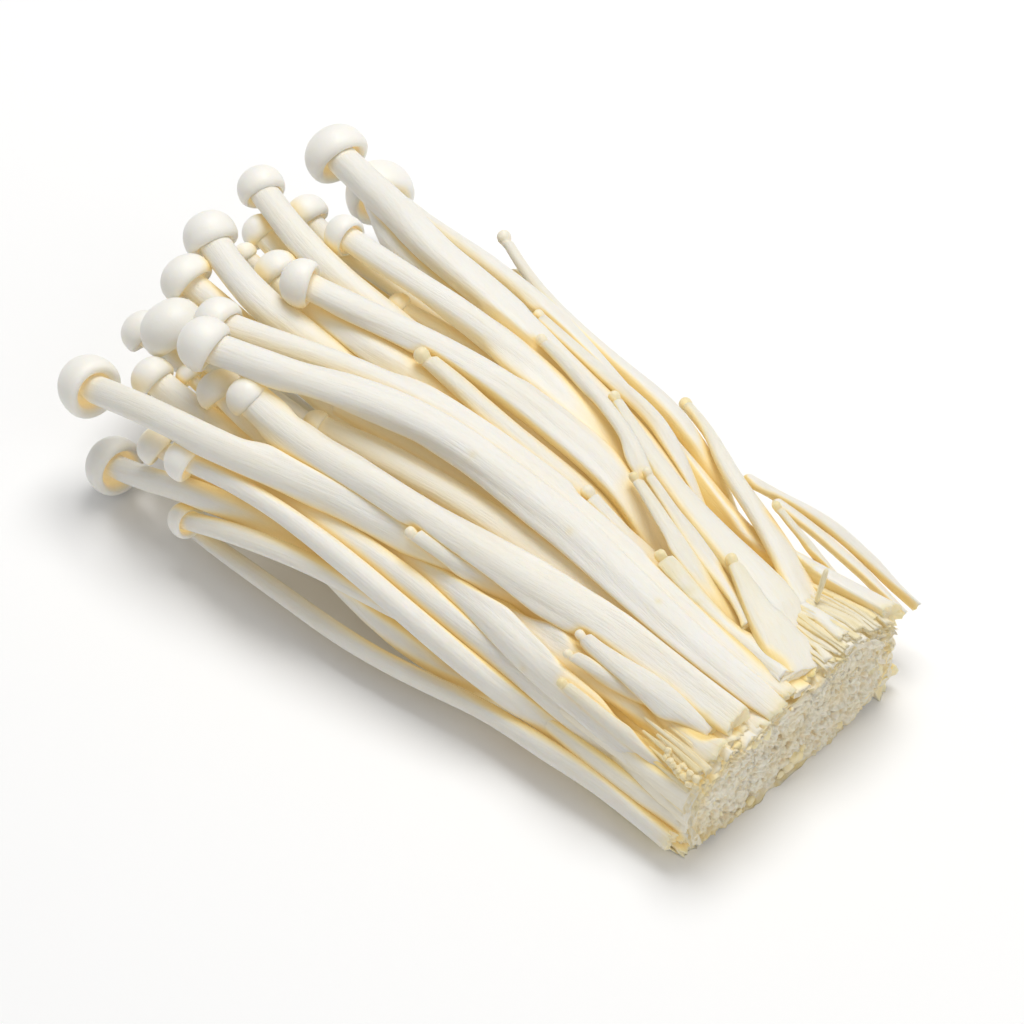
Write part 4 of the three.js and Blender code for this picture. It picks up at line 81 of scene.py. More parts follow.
    ('slender_mushroom_05', 1.22, 'slab', [(13.74,18.65,26.26,0.8,0.8),(16.69,17.66,25.94,0.91,0.91),(19.66,16.75,25.59,0.95,1.01),(22.65,15.96,25.12,1.06,1.12),(25.66,15.32,24.57,1.15,1.22),(28.7,14.8,24.05,1.21,1.33),(31.76,14.36,23.61,1.34,1.44),(34.84,13.97,23.22,1.54,1.54),(37.92,13.64,22.84,1.65,1.65),(41.01,13.37,22.43,1.76,1.76),(44.1,13.12,21.99,1.86,1.86),(47.18,12.86,21.52,1.97,1.97),(50.25,12.54,21.06,2.07,2.07),(53.32,12.13,20.61,2.18,2.18),(56.37,11.6,20.17,2.28,2.28),(59.38,10.91,19.69,2.39,2.39),(62.36,10.11,19.17,2.49,2.5),(63.84,9.7,18.9,2.52,2.55)]),
    ('slender_mushroom_06', 1.44, 'slab', [(16.36,34.09,17.23,0.96,0.96),(19.21,32.96,17.91,1.04,1.04),(22.06,31.87,18.61,1.03,1.12),(24.89,30.69,19.27,0.9,1.2),(27.67,29.33,19.71,1.1,1.28),(30.46,27.92,19.88,1.36,1.36),(33.32,26.62,19.86,1.44,1.44),(36.24,25.49,19.73,1.52,1.52),(39.2,24.48,19.51,1.6,1.6),(42.16,23.51,19.24,1.68,1.68),(45.11,22.5,18.93,1.76,1.76),(48.04,21.42,18.61,1.84,1.84),(50.92,20.24,18.3,1.92,1.92),(53.77,18.96,18.02,2,2),(56.59,17.62,17.75,2.08,2.08),(59.4,16.25,17.5,2.16,2.16),(62.2,14.86,17.24,2.21,2.24)]),
    ('slender_mushroom_07', 1.06, 'free', [(28.32,9.27,27.58,0.64,0.64),(31.38,8.33,27.21,0.66,0.66),(34.45,7.42,26.81,0.69,0.69),(37.53,6.59,26.34,0.72,0.72),(40.62,5.89,25.75,0.74,0.74),(43.71,5.34,25.02,0.77,0.77),(46.78,4.91,24.14,0.79,0.79),(49.82,4.52,23.13,0.82,0.82),(52.83,4.15,22.04,0.82,0.84),(55.83,3.81,20.93,0.86,0.87),(57.34,3.64,20.37,0.87,0.88)]),
    ('slender_mushroom_08', 0.9, 'free', [(28.87,11.63,27.35,0.56,0.56),(31.81,11.06,26.61,0.59,0.59),(34.76,10.52,25.92,0.62,0.62),(37.74,9.99,25.31,0.66,0.66),(40.73,9.44,24.76,0.69,0.69),(43.71,8.82,24.29,0.72,0.72),(46.68,8.09,23.87,0.75,0.75),(49.6,7.18,23.51,0.78,0.78),(52.48,6.13,23.19,0.82,0.82),(55.34,5,22.9,0.8,0.85),(58.19,3.85,22.6,0.87,0.88)]),
    ('slender_mushroom_09', 1.42, 'free', [(24.84,2.61,26.45,0.88,0.88),(27.75,2.37,25.6,0.92,0.92),(30.67,2.15,24.77,0.97,0.97),(33.59,1.95,23.97,1.01,1.01),(36.52,1.76,23.2,1.04,1.06),(39.47,1.58,22.5,1.09,1.1),(42.44,1.45,21.88,1.13,1.14),(45.43,1.39,21.3,1.17,1.18),(48.41,1.37,20.72,1.22,1.23),(51.38,1.39,20.1,1.26,1.27),(54.35,1.45,19.45,1.31,1.32),(57.32,1.52,18.79,1.34,1.36)]),
    ('slender_mushroom_10', 1.1, 'core', [(11.33,-22.35,26.12,0.8,0.8),(14.28,-21.56,25.12,0.86,0.86),(17.24,-20.71,24.18,0.91,0.92),(20.2,-19.72,23.35,0.93,0.98),(23.15,-18.69,22.58,0.96,1.04),(26.11,-17.71,21.8,1.04,1.1),(29.1,-16.9,20.92,1.15,1.17),(32.08,-16.43,19.79,1.03,1.23),(34.96,-16.54,18.36,0.88,1.29),(37.74,-17.24,16.9,0.97,1.35),(40.47,-18.48,15.77,1.22,1.41),(42.05,-18.73,15.8,1.15,1.44)]),
    ('slender_mushroom_11', 0.95, 'slab', [(42.21,-16.42,22.83,0.64,0.64),(45.35,-16.61,22.67,0.76,0.76),(48.5,-16.71,22.54,0.88,0.88),(51.65,-16.65,22.42,0.94,1),(54.79,-16.42,22.21,1.03,1.12),(57.9,-16.05,21.83,1.2,1.24),(60.97,-15.62,21.27,1.36,1.36),(64.03,-15.28,20.58,1.48,1.48),(67.08,-15.02,19.82,1.6,1.6)]),
    ('slender_mushroom_12', 0.96, 'free', [(43.08,-19.96,22.1,0.64,0.64),(46.02,-19.19,21.6,0.69,0.69),(48.96,-18.41,21.08,0.75,0.75),(51.88,-17.57,20.54,0.75,0.8),(54.75,-16.62,19.99,0.79,0.85),(57.6,-15.6,19.39,0.86,0.91),(60.45,-14.65,18.68,0.93,0.96),(63.3,-13.83,17.84,0.97,1.01),(64.72,-13.44,17.39,0.97,1.04)]),
    ('slender_mushroom_13', 1, 'slab', [(45.47,-23.58,20.62,0.72,0.72),(48.32,-23.21,19.95,0.74,0.74),(51.18,-22.87,19.29,0.76,0.76),(54.04,-22.59,18.65,0.78,0.78),(56.91,-22.36,18.01,0.8,0.8),(59.78,-22.15,17.36,0.82,0.82),(62.65,-21.91,16.72,0.83,0.84),(65.51,-21.63,16.06,0.85,0.86),(68.05,-21.33,15.37,0.85,0.88)]),
    ('slender_mushroom_14', 0.92, 'slab', [(44.08,25.34,20.9,0.64,0.64),(46.89,25.25,19.65,0.7,0.7),(49.73,25.23,18.44,0.75,0.75),(52.59,25.32,17.31,0.81,0.81),(55.48,25.51,16.25,0.87,0.87),(58.38,25.72,15.24,0.93,0.93),(61.3,25.9,14.26,0.98,0.98),(64.21,26.07,13.28,1.04,1.04)]),
    ('slender_mushroom_15', 1.12, 'slab', [(48.27,9.94,23.38,0.8,0.8),(51.12,8.94,22.81,1.04,1.04),(53.98,7.96,22.3,1.27,1.28),(56.89,7.04,21.88,1.49,1.52),(59.83,6.24,21.56,1.76,1.76),(62.81,5.53,21.29,1.98,2),(65.8,4.89,21.03,2.19,2.24)]),
    ('slender_mushroom_16', 1.5, 'free', [(40.95,2.07,25.13,0.8,0.8),(44.09,1.72,24.5,0.84,0.84),(47.25,1.47,23.92,0.88,0.88),(50.43,1.34,23.44,0.9,0.91),(53.63,1.29,23.05,0.92,0.95),(56.84,1.27,22.72,0.95,0.99),(60.05,1.28,22.44,1,1.03),(63.26,1.31,22.21,1.06,1.06),(66.48,1.4,22.03,1.08,1.1),(68.05,1.46,21.94,1.12,1.12)]),
    ('slender_mushroom_17', 0, 'free', [(35.77,28.28,18.33,1.01,1.04),(38.31,28.87,17.96,1.05,1.05),(40.83,29.54,17.63,1.05,1.05),(43.34,30.29,17.38,1.05,1.06),(45.85,31.03,17.15,1.06,1.06),(48.39,31.65,16.86,1.07,1.07),(50.95,32.04,16.43,1.08,1.08),(53.52,32.22,15.87,1.08,1.08),(56.06,32.29,15.21,1.09,1.09),(58.58,32.36,14.46,1.1,1.1),(61.08,32.49,13.64,1.09,1.1),(63.54,32.74,12.76,1.1,1.11),(65.97,33.13,11.82,1.11,1.11),(68.05,33.62,10.83,1.12,1.12)]),
    ('slender_mushroom_18', 0, 'free', [(42.6,27.6,18.32,1.04,1.04),(45.11,28.19,17.58,1.06,1.06),(47.64,28.74,16.86,1.07,1.07),(50.2,29.16,16.17,1.09,1.09),(52.78,29.45,15.49,1.1,1.1),(55.37,29.63,14.82,1.12,1.12),(57.97,29.77,14.16,1.14,1.14),(60.56,29.9,13.47,1.14,1.15),(63.14,30.09,12.76,1.16,1.17),(65.7,30.37,12.02,1.18,1.18),(68.05,30.71,11.24,1.2,1.2)]),
    ('mushroom_34', 4.22, 'core', [(-53.96,10.01,4.42,1.9,1.9),(-50.75,10.08,4.4,1.91,1.91),(-47.55,10.15,4.38,1.92,1.92),(-44.35,10.22,4.35,1.93,1.93),(-41.15,10.28,4.32,1.94,1.94),(-37.95,10.32,4.28,1.95,1.95),(-34.75,10.33,4.24,1.95,1.96),(-31.55,10.3,4.19,1.97,1.97),(-28.34,10.24,4.14,1.98,1.98),(-25.14,10.16,4.07,1.99,1.99),(-21.94,10.07,4,2,2),(-18.74,9.97,3.92,2.01,2.01),(-15.54,9.88,3.84,2.02,2.02),(-12.34,9.79,3.75,2.03,2.03),(-9.14,9.72,3.66,2.04,2.04),(-5.94,9.65,3.56,2.05,2.05),(-2.74,9.6,3.47,2.06,2.06),(0.46,9.56,3.37,2.07,2.07),(3.66,9.54,3.28,2.08,2.08),(6.86,9.53,3.19,2.09,2.09),(10.06,9.53,3.1,2.1,2.1),(13.26,9.54,3.02,2.11,2.11),(16.46,9.55,2.95,2.12,2.12),(19.66,9.56,2.88,2.13,2.13),(22.87,9.58,2.82,2.14,2.14),(26.07,9.59,2.77,2.15,2.15),(29.27,9.61,2.72,2.16,2.16),(32.47,9.63,2.68,2.17,2.17),(35.67,9.64,2.65,2.18,2.18),(38.87,9.65,2.62,2.18,2.19),(42.05,9.27,2.6,1.79,2.2)]),
    ('mushroom_35', 4.42, 'core', [(-56.93,20.14,10.7,1.9,1.9),(-53.73,20.02,10.62,1.91,1.91),(-50.52,19.9,10.55,1.92,1.92),(-47.32,19.77,10.48,1.93,1.93),(-44.12,19.63,10.4,1.94,1.94),(-40.92,19.48,10.32,1.95,1.95),(-37.72,19.32,10.22,1.96,1.96),(-34.52,19.13,10.12,1.97,1.97),(-31.32,18.93,10.01,1.98,1.98),(-28.13,18.7,9.89,1.99,1.99),(-24.94,18.46,9.75,2,2),(-21.75,18.19,9.61,2.01,2.01),(-18.56,17.9,9.45,2.02,2.02),(-15.37,17.59,9.29,2.03,2.03),(-12.19,17.28,9.12,2.04,2.04),(-9,16.95,8.95,2.04,2.04),(-5.82,16.61,8.77,2.06,2.06),(-2.64,16.27,8.58,2.06,2.06),(0.54,15.92,8.4,2.07,2.07),(3.73,15.59,8.22,2.08,2.08),(6.91,15.26,8.04,2.09,2.09),(10.09,14.94,7.86,2.1,2.1),(13.28,14.64,7.69,2.11,2.11),(16.47,14.35,7.53,2.12,2.12),(19.66,14.09,7.38,2.13,2.13),(22.85,13.86,7.24,2.14,2.14),(26.05,13.65,7.11,2.15,2.15),(29.25,13.47,7,2.16,2.16),(32.45,13.32,6.91,2.17,2.17),(35.65,13.21,6.85,2.13,2.18),(38.86,13.14,6.82,2.03,2.19),(42.05,13.27,7,1.79,2.2)]),
    ('mushroom_36', 4.03, 'core', [(-46.26,31.87,12.33,1.9,1.9),(-43.08,31.5,12.27,1.91,1.91),(-39.89,31.13,12.2,1.92,1.92),(-36.71,30.75,12.12,1.93,1.93),(-33.53,30.36,12.02,1.94,1.94),(-30.35,29.94,11.89,1.95,1.95),(-27.18,29.49,11.75,1.96,1.96),(-24.01,29,11.58,1.98,1.98),(-20.85,28.47,11.38,1.99,1.99),(-17.71,27.9,11.16,2,2),(-14.57,27.28,10.92,2.01,2.01),(-11.44,26.63,10.66,2.02,2.02),(-8.32,25.94,10.39,2.03,2.03),(-5.21,25.23,10.1,2.04,2.04),(-2.1,24.5,9.81,2.05,2.05),(1.01,23.77,9.52,2.06,2.06),(4.12,23.05,9.22,2.07,2.07),(7.24,22.35,8.94,2.08,2.08),(10.36,21.67,8.67,2.09,2.09),(13.49,21.03,8.41,2.1,2.1),(16.64,20.43,8.18,2.11,2.11),(19.79,19.89,7.96,2.12,2.12),(22.95,19.4,7.77,2.14,2.14),(26.12,18.96,7.6,2.15,2.15),(29.3,18.56,7.44,2.16,2.16),(32.49,18.2,7.31,2.17,2.17),(35.68,17.87,7.2,2.13,2.18),(38.86,17.55,7.09,1.96,2.19),(42.05,17.27,7,1.79,2.2)]),
    ('mushroom_37', 4.03, 'core', [(-38.86,-22.11,4.24,1.9,1.9),(-35.67,-21.8,4.21,1.91,1.91),(-32.48,-21.49,4.17,1.92,1.92),(-29.28,-21.17,4.13,1.94,1.94),(-26.1,-20.82,4.09,1.95,1.95),(-22.91,-20.46,4.04,1.96,1.96),(-19.73,-20.06,3.99,1.97,1.97),(-16.55,-19.62,3.93,1.98,1.98),(-13.38,-19.14,3.86,1.99,1.99),(-10.21,-18.63,3.79,2.01,2.01),(-7.05,-18.08,3.71,2.02,2.02),(-3.9,-17.5,3.62,2.03,2.03),(-0.75,-16.9,3.53,2.04,2.04),(2.4,-16.29,3.44,2.05,2.05),(5.54,-15.67,3.35,2.06,2.06),(8.69,-15.06,3.25,2.08,2.08),(11.84,-14.46,3.16,2.09,2.09),(15,-13.89,3.08,2.1,2.1),(18.16,-13.35,3,2.11,2.11),(21.32,-12.86,2.92,2.12,2.12),(24.5,-12.41,2.85,2.13,2.13),(27.68,-12.01,2.79,2.15,2.15),(30.87,-11.65,2.74,2.16,2.16),(34.06,-11.34,2.69,2.17,2.17),(37.26,-11.06,2.65,2.18,2.18),(40.45,-10.77,2.6,2.19,2.19),(42.05,-10.73,2.6,2.2,2.2)]),
    ('mushroom_38', 4.42, 'core', [(-53.92,-9.64,12.8,1.9,1.9),(-50.71,-9.51,12.67,1.91,1.91),(-47.5,-9.37,12.53,1.92,1.92),(-44.29,-9.23,12.39,1.93,1.93),(-41.08,-9.08,12.24,1.94,1.94),(-37.87,-8.92,12.09,1.95,1.95),(-34.66,-8.75,11.92,1.96,1.96),(-31.46,-8.55,11.74,1.97,1.97),(-28.25,-8.33,11.54,1.98,1.98),(-25.05,-8.09,11.33,1.99,1.99),(-21.86,-7.83,11.11,2,2),(-18.66,-7.54,10.87,2.01,2.01),(-15.47,-7.24,10.61,2.02,2.02),(-12.28,-6.92,10.34,2.03,2.03),(-9.1,-6.59,10.07,2.04,2.04),(-5.91,-6.24,9.79,2.05,2.05),(-2.73,-5.9,9.5,2.06,2.06),(0.46,-5.55,9.22,2.07,2.07),(3.64,-5.2,8.93,2.08,2.08),(6.83,-4.87,8.65,2.09,2.09),(10.02,-4.54,8.38,2.1,2.1),(13.21,-4.24,8.12,2.11,2.11),(16.4,-3.95,7.87,2.12,2.12),(19.6,-3.69,7.64,2.13,2.13),(22.8,-3.45,7.43,2.14,2.14),(26,-3.24,7.24,2.15,2.15),(29.21,-3.06,7.08,2.16,2.16),(32.42,-2.91,6.95,2.17,2.17),(35.63,-2.8,6.85,2.17,2.18),(38.84,-2.71,6.79,2.1,2.19),(42.05,-2.73,7,1.89,2.2)]),
    ('mushroom_39', 4.03, 'core', [(-35.86,31.62,4.25,1.9,1.9),(-32.67,31.31,4.21,1.91,1.91),(-29.47,31,4.17,1.92,1.92),(-26.28,30.68,4.13,1.94,1.94),(-23.08,30.35,4.09,1.95,1.95),(-19.89,29.99,4.04,1.96,1.96),(-16.7,29.6,3.98,1.97,1.97),(-13.52,29.17,3.92,1.99,1.99),(-10.34,28.71,3.85,2,2),(-7.17,28.22,3.77,2.01,2.01),(-4.01,27.69,3.68,2.02,2.02),(-0.84,27.15,3.59,2.04,2.04),(2.32,26.58,3.49,2.05,2.05),(5.48,26.01,3.39,2.06,2.06),(8.63,25.43,3.29,2.07,2.07),(11.79,24.87,3.19,2.08,2.08),(14.96,24.33,3.09,2.1,2.1),(18.13,23.82,2.99,2.11,2.11),(21.3,23.34,2.89,2.12,2.12),(24.48,22.91,2.8,2.13,2.13),(27.67,22.51,2.71,2.14,2.14),(30.86,22.16,2.63,2.16,2.16),(34.05,21.85,2.56,2.17,2.17),(37.25,21.58,2.49,2.18,2.18),(40.45,21.3,2.52,2.08,2.19),(42.05,21.27,2.6,2.03,2.2)]),
    ('mushroom_40', 3.82, 'core', [(-33.98,4.19,4.14,1.9,1.9),(-30.81,4.31,4.1,1.91,1.91),(-27.64,4.42,4.07,1.92,1.92),(-24.47,4.53,4.03,1.94,1.94),(-21.31,4.62,3.98,1.95,1.95),(-18.14,4.7,3.94,1.96,1.96),(-14.97,4.77,3.88,1.98,1.98),(-11.8,4.83,3.82,1.99,1.99),(-8.63,4.87,3.75,2,2),(-5.46,4.9,3.68,2.01,2.01),(-2.29,4.92,3.59,2.02,2.02),(0.88,4.94,3.51,2.04,2.04),(4.05,4.94,3.42,2.05,2.05),(7.22,4.94,3.33,2.06,2.06),(10.38,4.94,3.24,2.08,2.08),(13.55,4.93,3.15,2.09,2.09),(16.72,4.92,3.06,2.1,2.1),(19.89,4.91,2.98,2.11,2.11),(23.06,4.9,2.91,2.12,2.12),(26.23,4.89,2.84,2.14,2.14),(29.4,4.88,2.78,2.15,2.15),(32.57,4.87,2.72,2.16,2.16),(35.74,4.87,2.68,2.17,2.17),(38.91,4.87,2.63,2.18,2.19),(42.05,5.27,2.6,1.79,2.2)]),
    ('mushroom_41', 3.46, 'core', [(-25.65,36.13,14.1,1.9,1.9),(-22.54,35.59,13.82,1.91,1.91),(-19.43,35.04,13.53,1.93,1.93),(-16.33,34.48,13.24,1.94,1.94),(-13.22,33.89,12.93,1.96,1.96),(-10.13,33.27,12.62,1.97,1.97),(-7.05,32.61,12.28,1.98,1.98),(-3.98,31.91,11.93,2,2),(-0.92,31.17,11.56,2.01,2.01),(2.13,30.39,11.17,2.02,2.02),(5.17,29.59,10.77,2.04,2.04),(8.21,28.78,10.37,2.05,2.05),(11.25,27.97,9.97,2.06,2.06),(14.29,27.18,9.57,2.08,2.08),(17.35,26.41,9.19,2.09,2.09),(20.41,25.68,8.83,2.1,2.1),(23.49,25,8.49,2.12,2.12),(26.58,24.36,8.18,2.13,2.13),(29.68,23.77,7.9,2.14,2.14),(32.79,23.2,7.65,2.16,2.16),(35.9,22.63,7.42,2.17,2.17),(39,22.04,7.2,2.07,2.19),(42.05,21.27,7,1.79,2.2)]),
]

# ------------------------------------------------------------------ small helpers
def unit(v):
    return v / np.maximum(np.linalg.norm(v, axis=-1, keepdims=True), 1e-9)

def hash01(i, j, k, seed):
    n = (i.astype(np.int64) * 73856093) ^ (j.astype(np.int64) * 19349663) ^ (k.astype(np.int64) * 83492791) ^ (seed * 2654435761)
    n = (n ^ (n >> 13)) * 1274126177
    n = n & 0x7FFFFFFF
    n = ((n ^ (n >> 16)) * 2246822519) & 0x7FFFFFFF
    return n / 2147483647.0

def vnoise(p, seed=0):
    """Smooth value noise, -1..1, for an (n, 3) array."""
    f = np.floor(p); q = p - f; q = q * q * (3 - 2 * q)
    i, j, k = f[:, 0].astype(int), f[:, 1].astype(int), f[:, 2].astype(int)
    r = 0
    for a in (0, 1):
        for b in (0, 1):
            for c in (0, 1):
                w = (q[:, 0] if a else 1 - q[:, 0]) * (q[:, 1] if b else 1 - q[:, 1]) * (q[:, 2] if c else 1 - q[:, 2])
                r = r + w * hash01(i + a, j + b, k + c, seed)
    return r * 2 - 1

def worley(p, seed=0):
    """Distances to the nearest and second nearest feature point, (n, 2) input."""
    f = np.floor(p).astype(int); z = np.zeros(len(p), int)
    best = np.full(len(p), 9.0); second = np.full(len(p), 9.0); cid = np.zeros(len(p))
    for a in (-1, 0, 1):
        for b in (-1, 0, 1):
            i, j = f[:, 0] + a, f[:, 1] + b
            cx = i + 0.12 + 0.76 * hash01(i, j, z, seed); cy = j + 0.12 + 0.76 * hash01(i, j, z + 1, seed)
            d = np.hypot(p[:, 0] - cx, p[:, 1] - cy)
            h = hash01(i, j, z + 2, seed)
            closer = d < best
            second = np.where(closer, best, np.minimum(second, d)); cid = np.where(closer, h, cid); best = np.where(closer, d, best)
    return best, second, cid

def make_mesh(name, verts_mm, faces, attrs, smooth=True):
    me = bpy.data.meshes.new(name)
    verts = np.asarray(verts_mm, float) * MM
    me.from_pydata(verts.tolist(), [], faces)
    for key, (kind, data) in attrs.items():
        a = me.attributes.new(key, kind, "POINT")
        data = np.asarray(data, np.float32)
        a.data.foreach_set("vector" if kind == "FLOAT_VECTOR" else "value", data.ravel())
    me.polygons.foreach_set("use_smooth", [smooth] * len(me.polygons))
    me.update()
    ob = bpy.data.objects.new(name, me)
    bpy.context.scene.collection.objects.link(ob)
    return ob

def resample(P, step):
    d = np.linalg.norm(np.diff(P[:, :3], axis=0), axis=1); s = np.r_[0, np.cumsum(d)]
    n = max(6, int(round(s[-1] / step)) + 1); t = np.linspace(0, s[-1], n)
    # Catmull-Rom through the stations
    out = np.zeros((n, P.shape[1])); idx = np.clip(np.searchsorted(s, t, side="right") - 1, 0, len(s) - 2)
    u = (t - s[idx]) / np.maximum(s[idx + 1] - s[idx], 1e-9)
    p0 = P[np.maximum(idx - 1, 0)]; p1 = P[idx]; p2 = P[idx + 1]; p3 = P[np.minimum(idx + 2, len(P) - 1)]
    u = u[:, None]
    out = 0.5 * (2 * p1 + (p2 - p0) * u + (2 * p0 - 5 * p1 + 4 * p2 - p3) * u ** 2 + (3 * p1 - p0 - 3 * p2 + p3) * u ** 3)
    return out, t

def smooth1(a, it):
    a = a.copy()
    for _ in range(it):
        b = a.copy(); b[1:-1] = 0.25 * a[:-2] + 0.5 * a[1:-1] + 0.25 * a[2:]; a = b
    return a

# the bundle's axis, for the direction in which stems are pressed flat
def out_dir(P):
    x = P[:, 0] - SX
    zc = np.interp(x, [-70, 0, 60], [14, 12, 8.5]); yc = SY + np.interp(x, [-70, 0, 60], [-3, 2, -0.5])
    d = np.stack([np.zeros(len(P)), (P[:, 1] - yc) * 0.62, (P[:, 2] - zc) * 1.25 + 1.5], 1)
    return unit(d)

def frame_along(P, mix=1.0):
    T = unit(np.gradient(P, axis=0))
    up = out_dir(P)
    up = unit(up - (up * T).sum(1)[:, None] * T)
    up = unit(smooth1(up, 12))
    up = unit(up - (up * T).sum(1)[:, None] * T)
    side = np.cross(T, up)
    return T, up, side

def pressed(C, T, side, up, R, rad, ang, me, x, slender, reach_k=0.8):
    """Stems that lie against one another press flat and close the gap between them."""
    n, seg = rad.shape
    ca, sa = np.cos(ang), np.sin(ang)
    limit = np.full((n, seg), 99.0)
    lo, hi = C.min(0) - 9, C.max(0) + 9
    sel = (ALLI != me) & ((ALLC > lo) & (ALLC < hi)).all(1)
    c2, r2, t2 = ALLC[sel], ALLR[sel], None
    for i in range(n):
        d = c2 - C[i]; ax = d @ T[i]
        m = (np.abs(ax) < 1.25) & ((d ** 2).sum(1) < 72)
        if not m.any(): continue
        dm = d[m] - ax[m][:, None] * T[i]; rj = r2[m]
        ds, du = dm @ side[i], dm @ up[i]; dd = ds ** 2 + du ** 2
        ok = dd > 0.3
        if not ok.any(): continue
        ds, du, dd, rj = ds[ok], du[ok], dd[ok], rj[ok]
        pr = ds[:, None] * ca[i][None] + du[:, None] * sa[i][None]
        num = (dd + R[i] ** 2 - rj ** 2)[:, None]
        t = np.where(pr > 0.12 * np.sqrt(dd)[:, None], num / (2 * np.maximum(pr, 1e-3)), 99.0)
        limit[i] = np.minimum(limit[i], np.maximum(t, 0.2).min(0))
    E = (0.9 if slender else reach_k) * np.clip((x + 52) / 38, 0, 1)[:, None]
    w = np.clip(1.05 - 1.0 * np.clip(sa, -0.15, 1), 0, 1)
    reach = rad * (1 + E * w)
    f = np.clip((reach * 1.22 - limit) / (reach * 0.40), 0, 1); f = f * f * (3 - 2 * f)
    new = np.where(limit > rad, rad + (np.minimum(limit, reach) - rad) * f, np.maximum(limit + 0.05, 0.5 * rad))
    for _ in range(3):
        new = 0.5 * new + 0.25 * (np.roll(new, 1, 1) + np.roll(new, -1, 1))
    new = smooth1(new, 3)
    return new

pieces = []       # dicts with verts, faces, attribute arrays, kept until occlusion is known
CHAINS = []       # (points, radii) of every stem, for the occlusion estimate

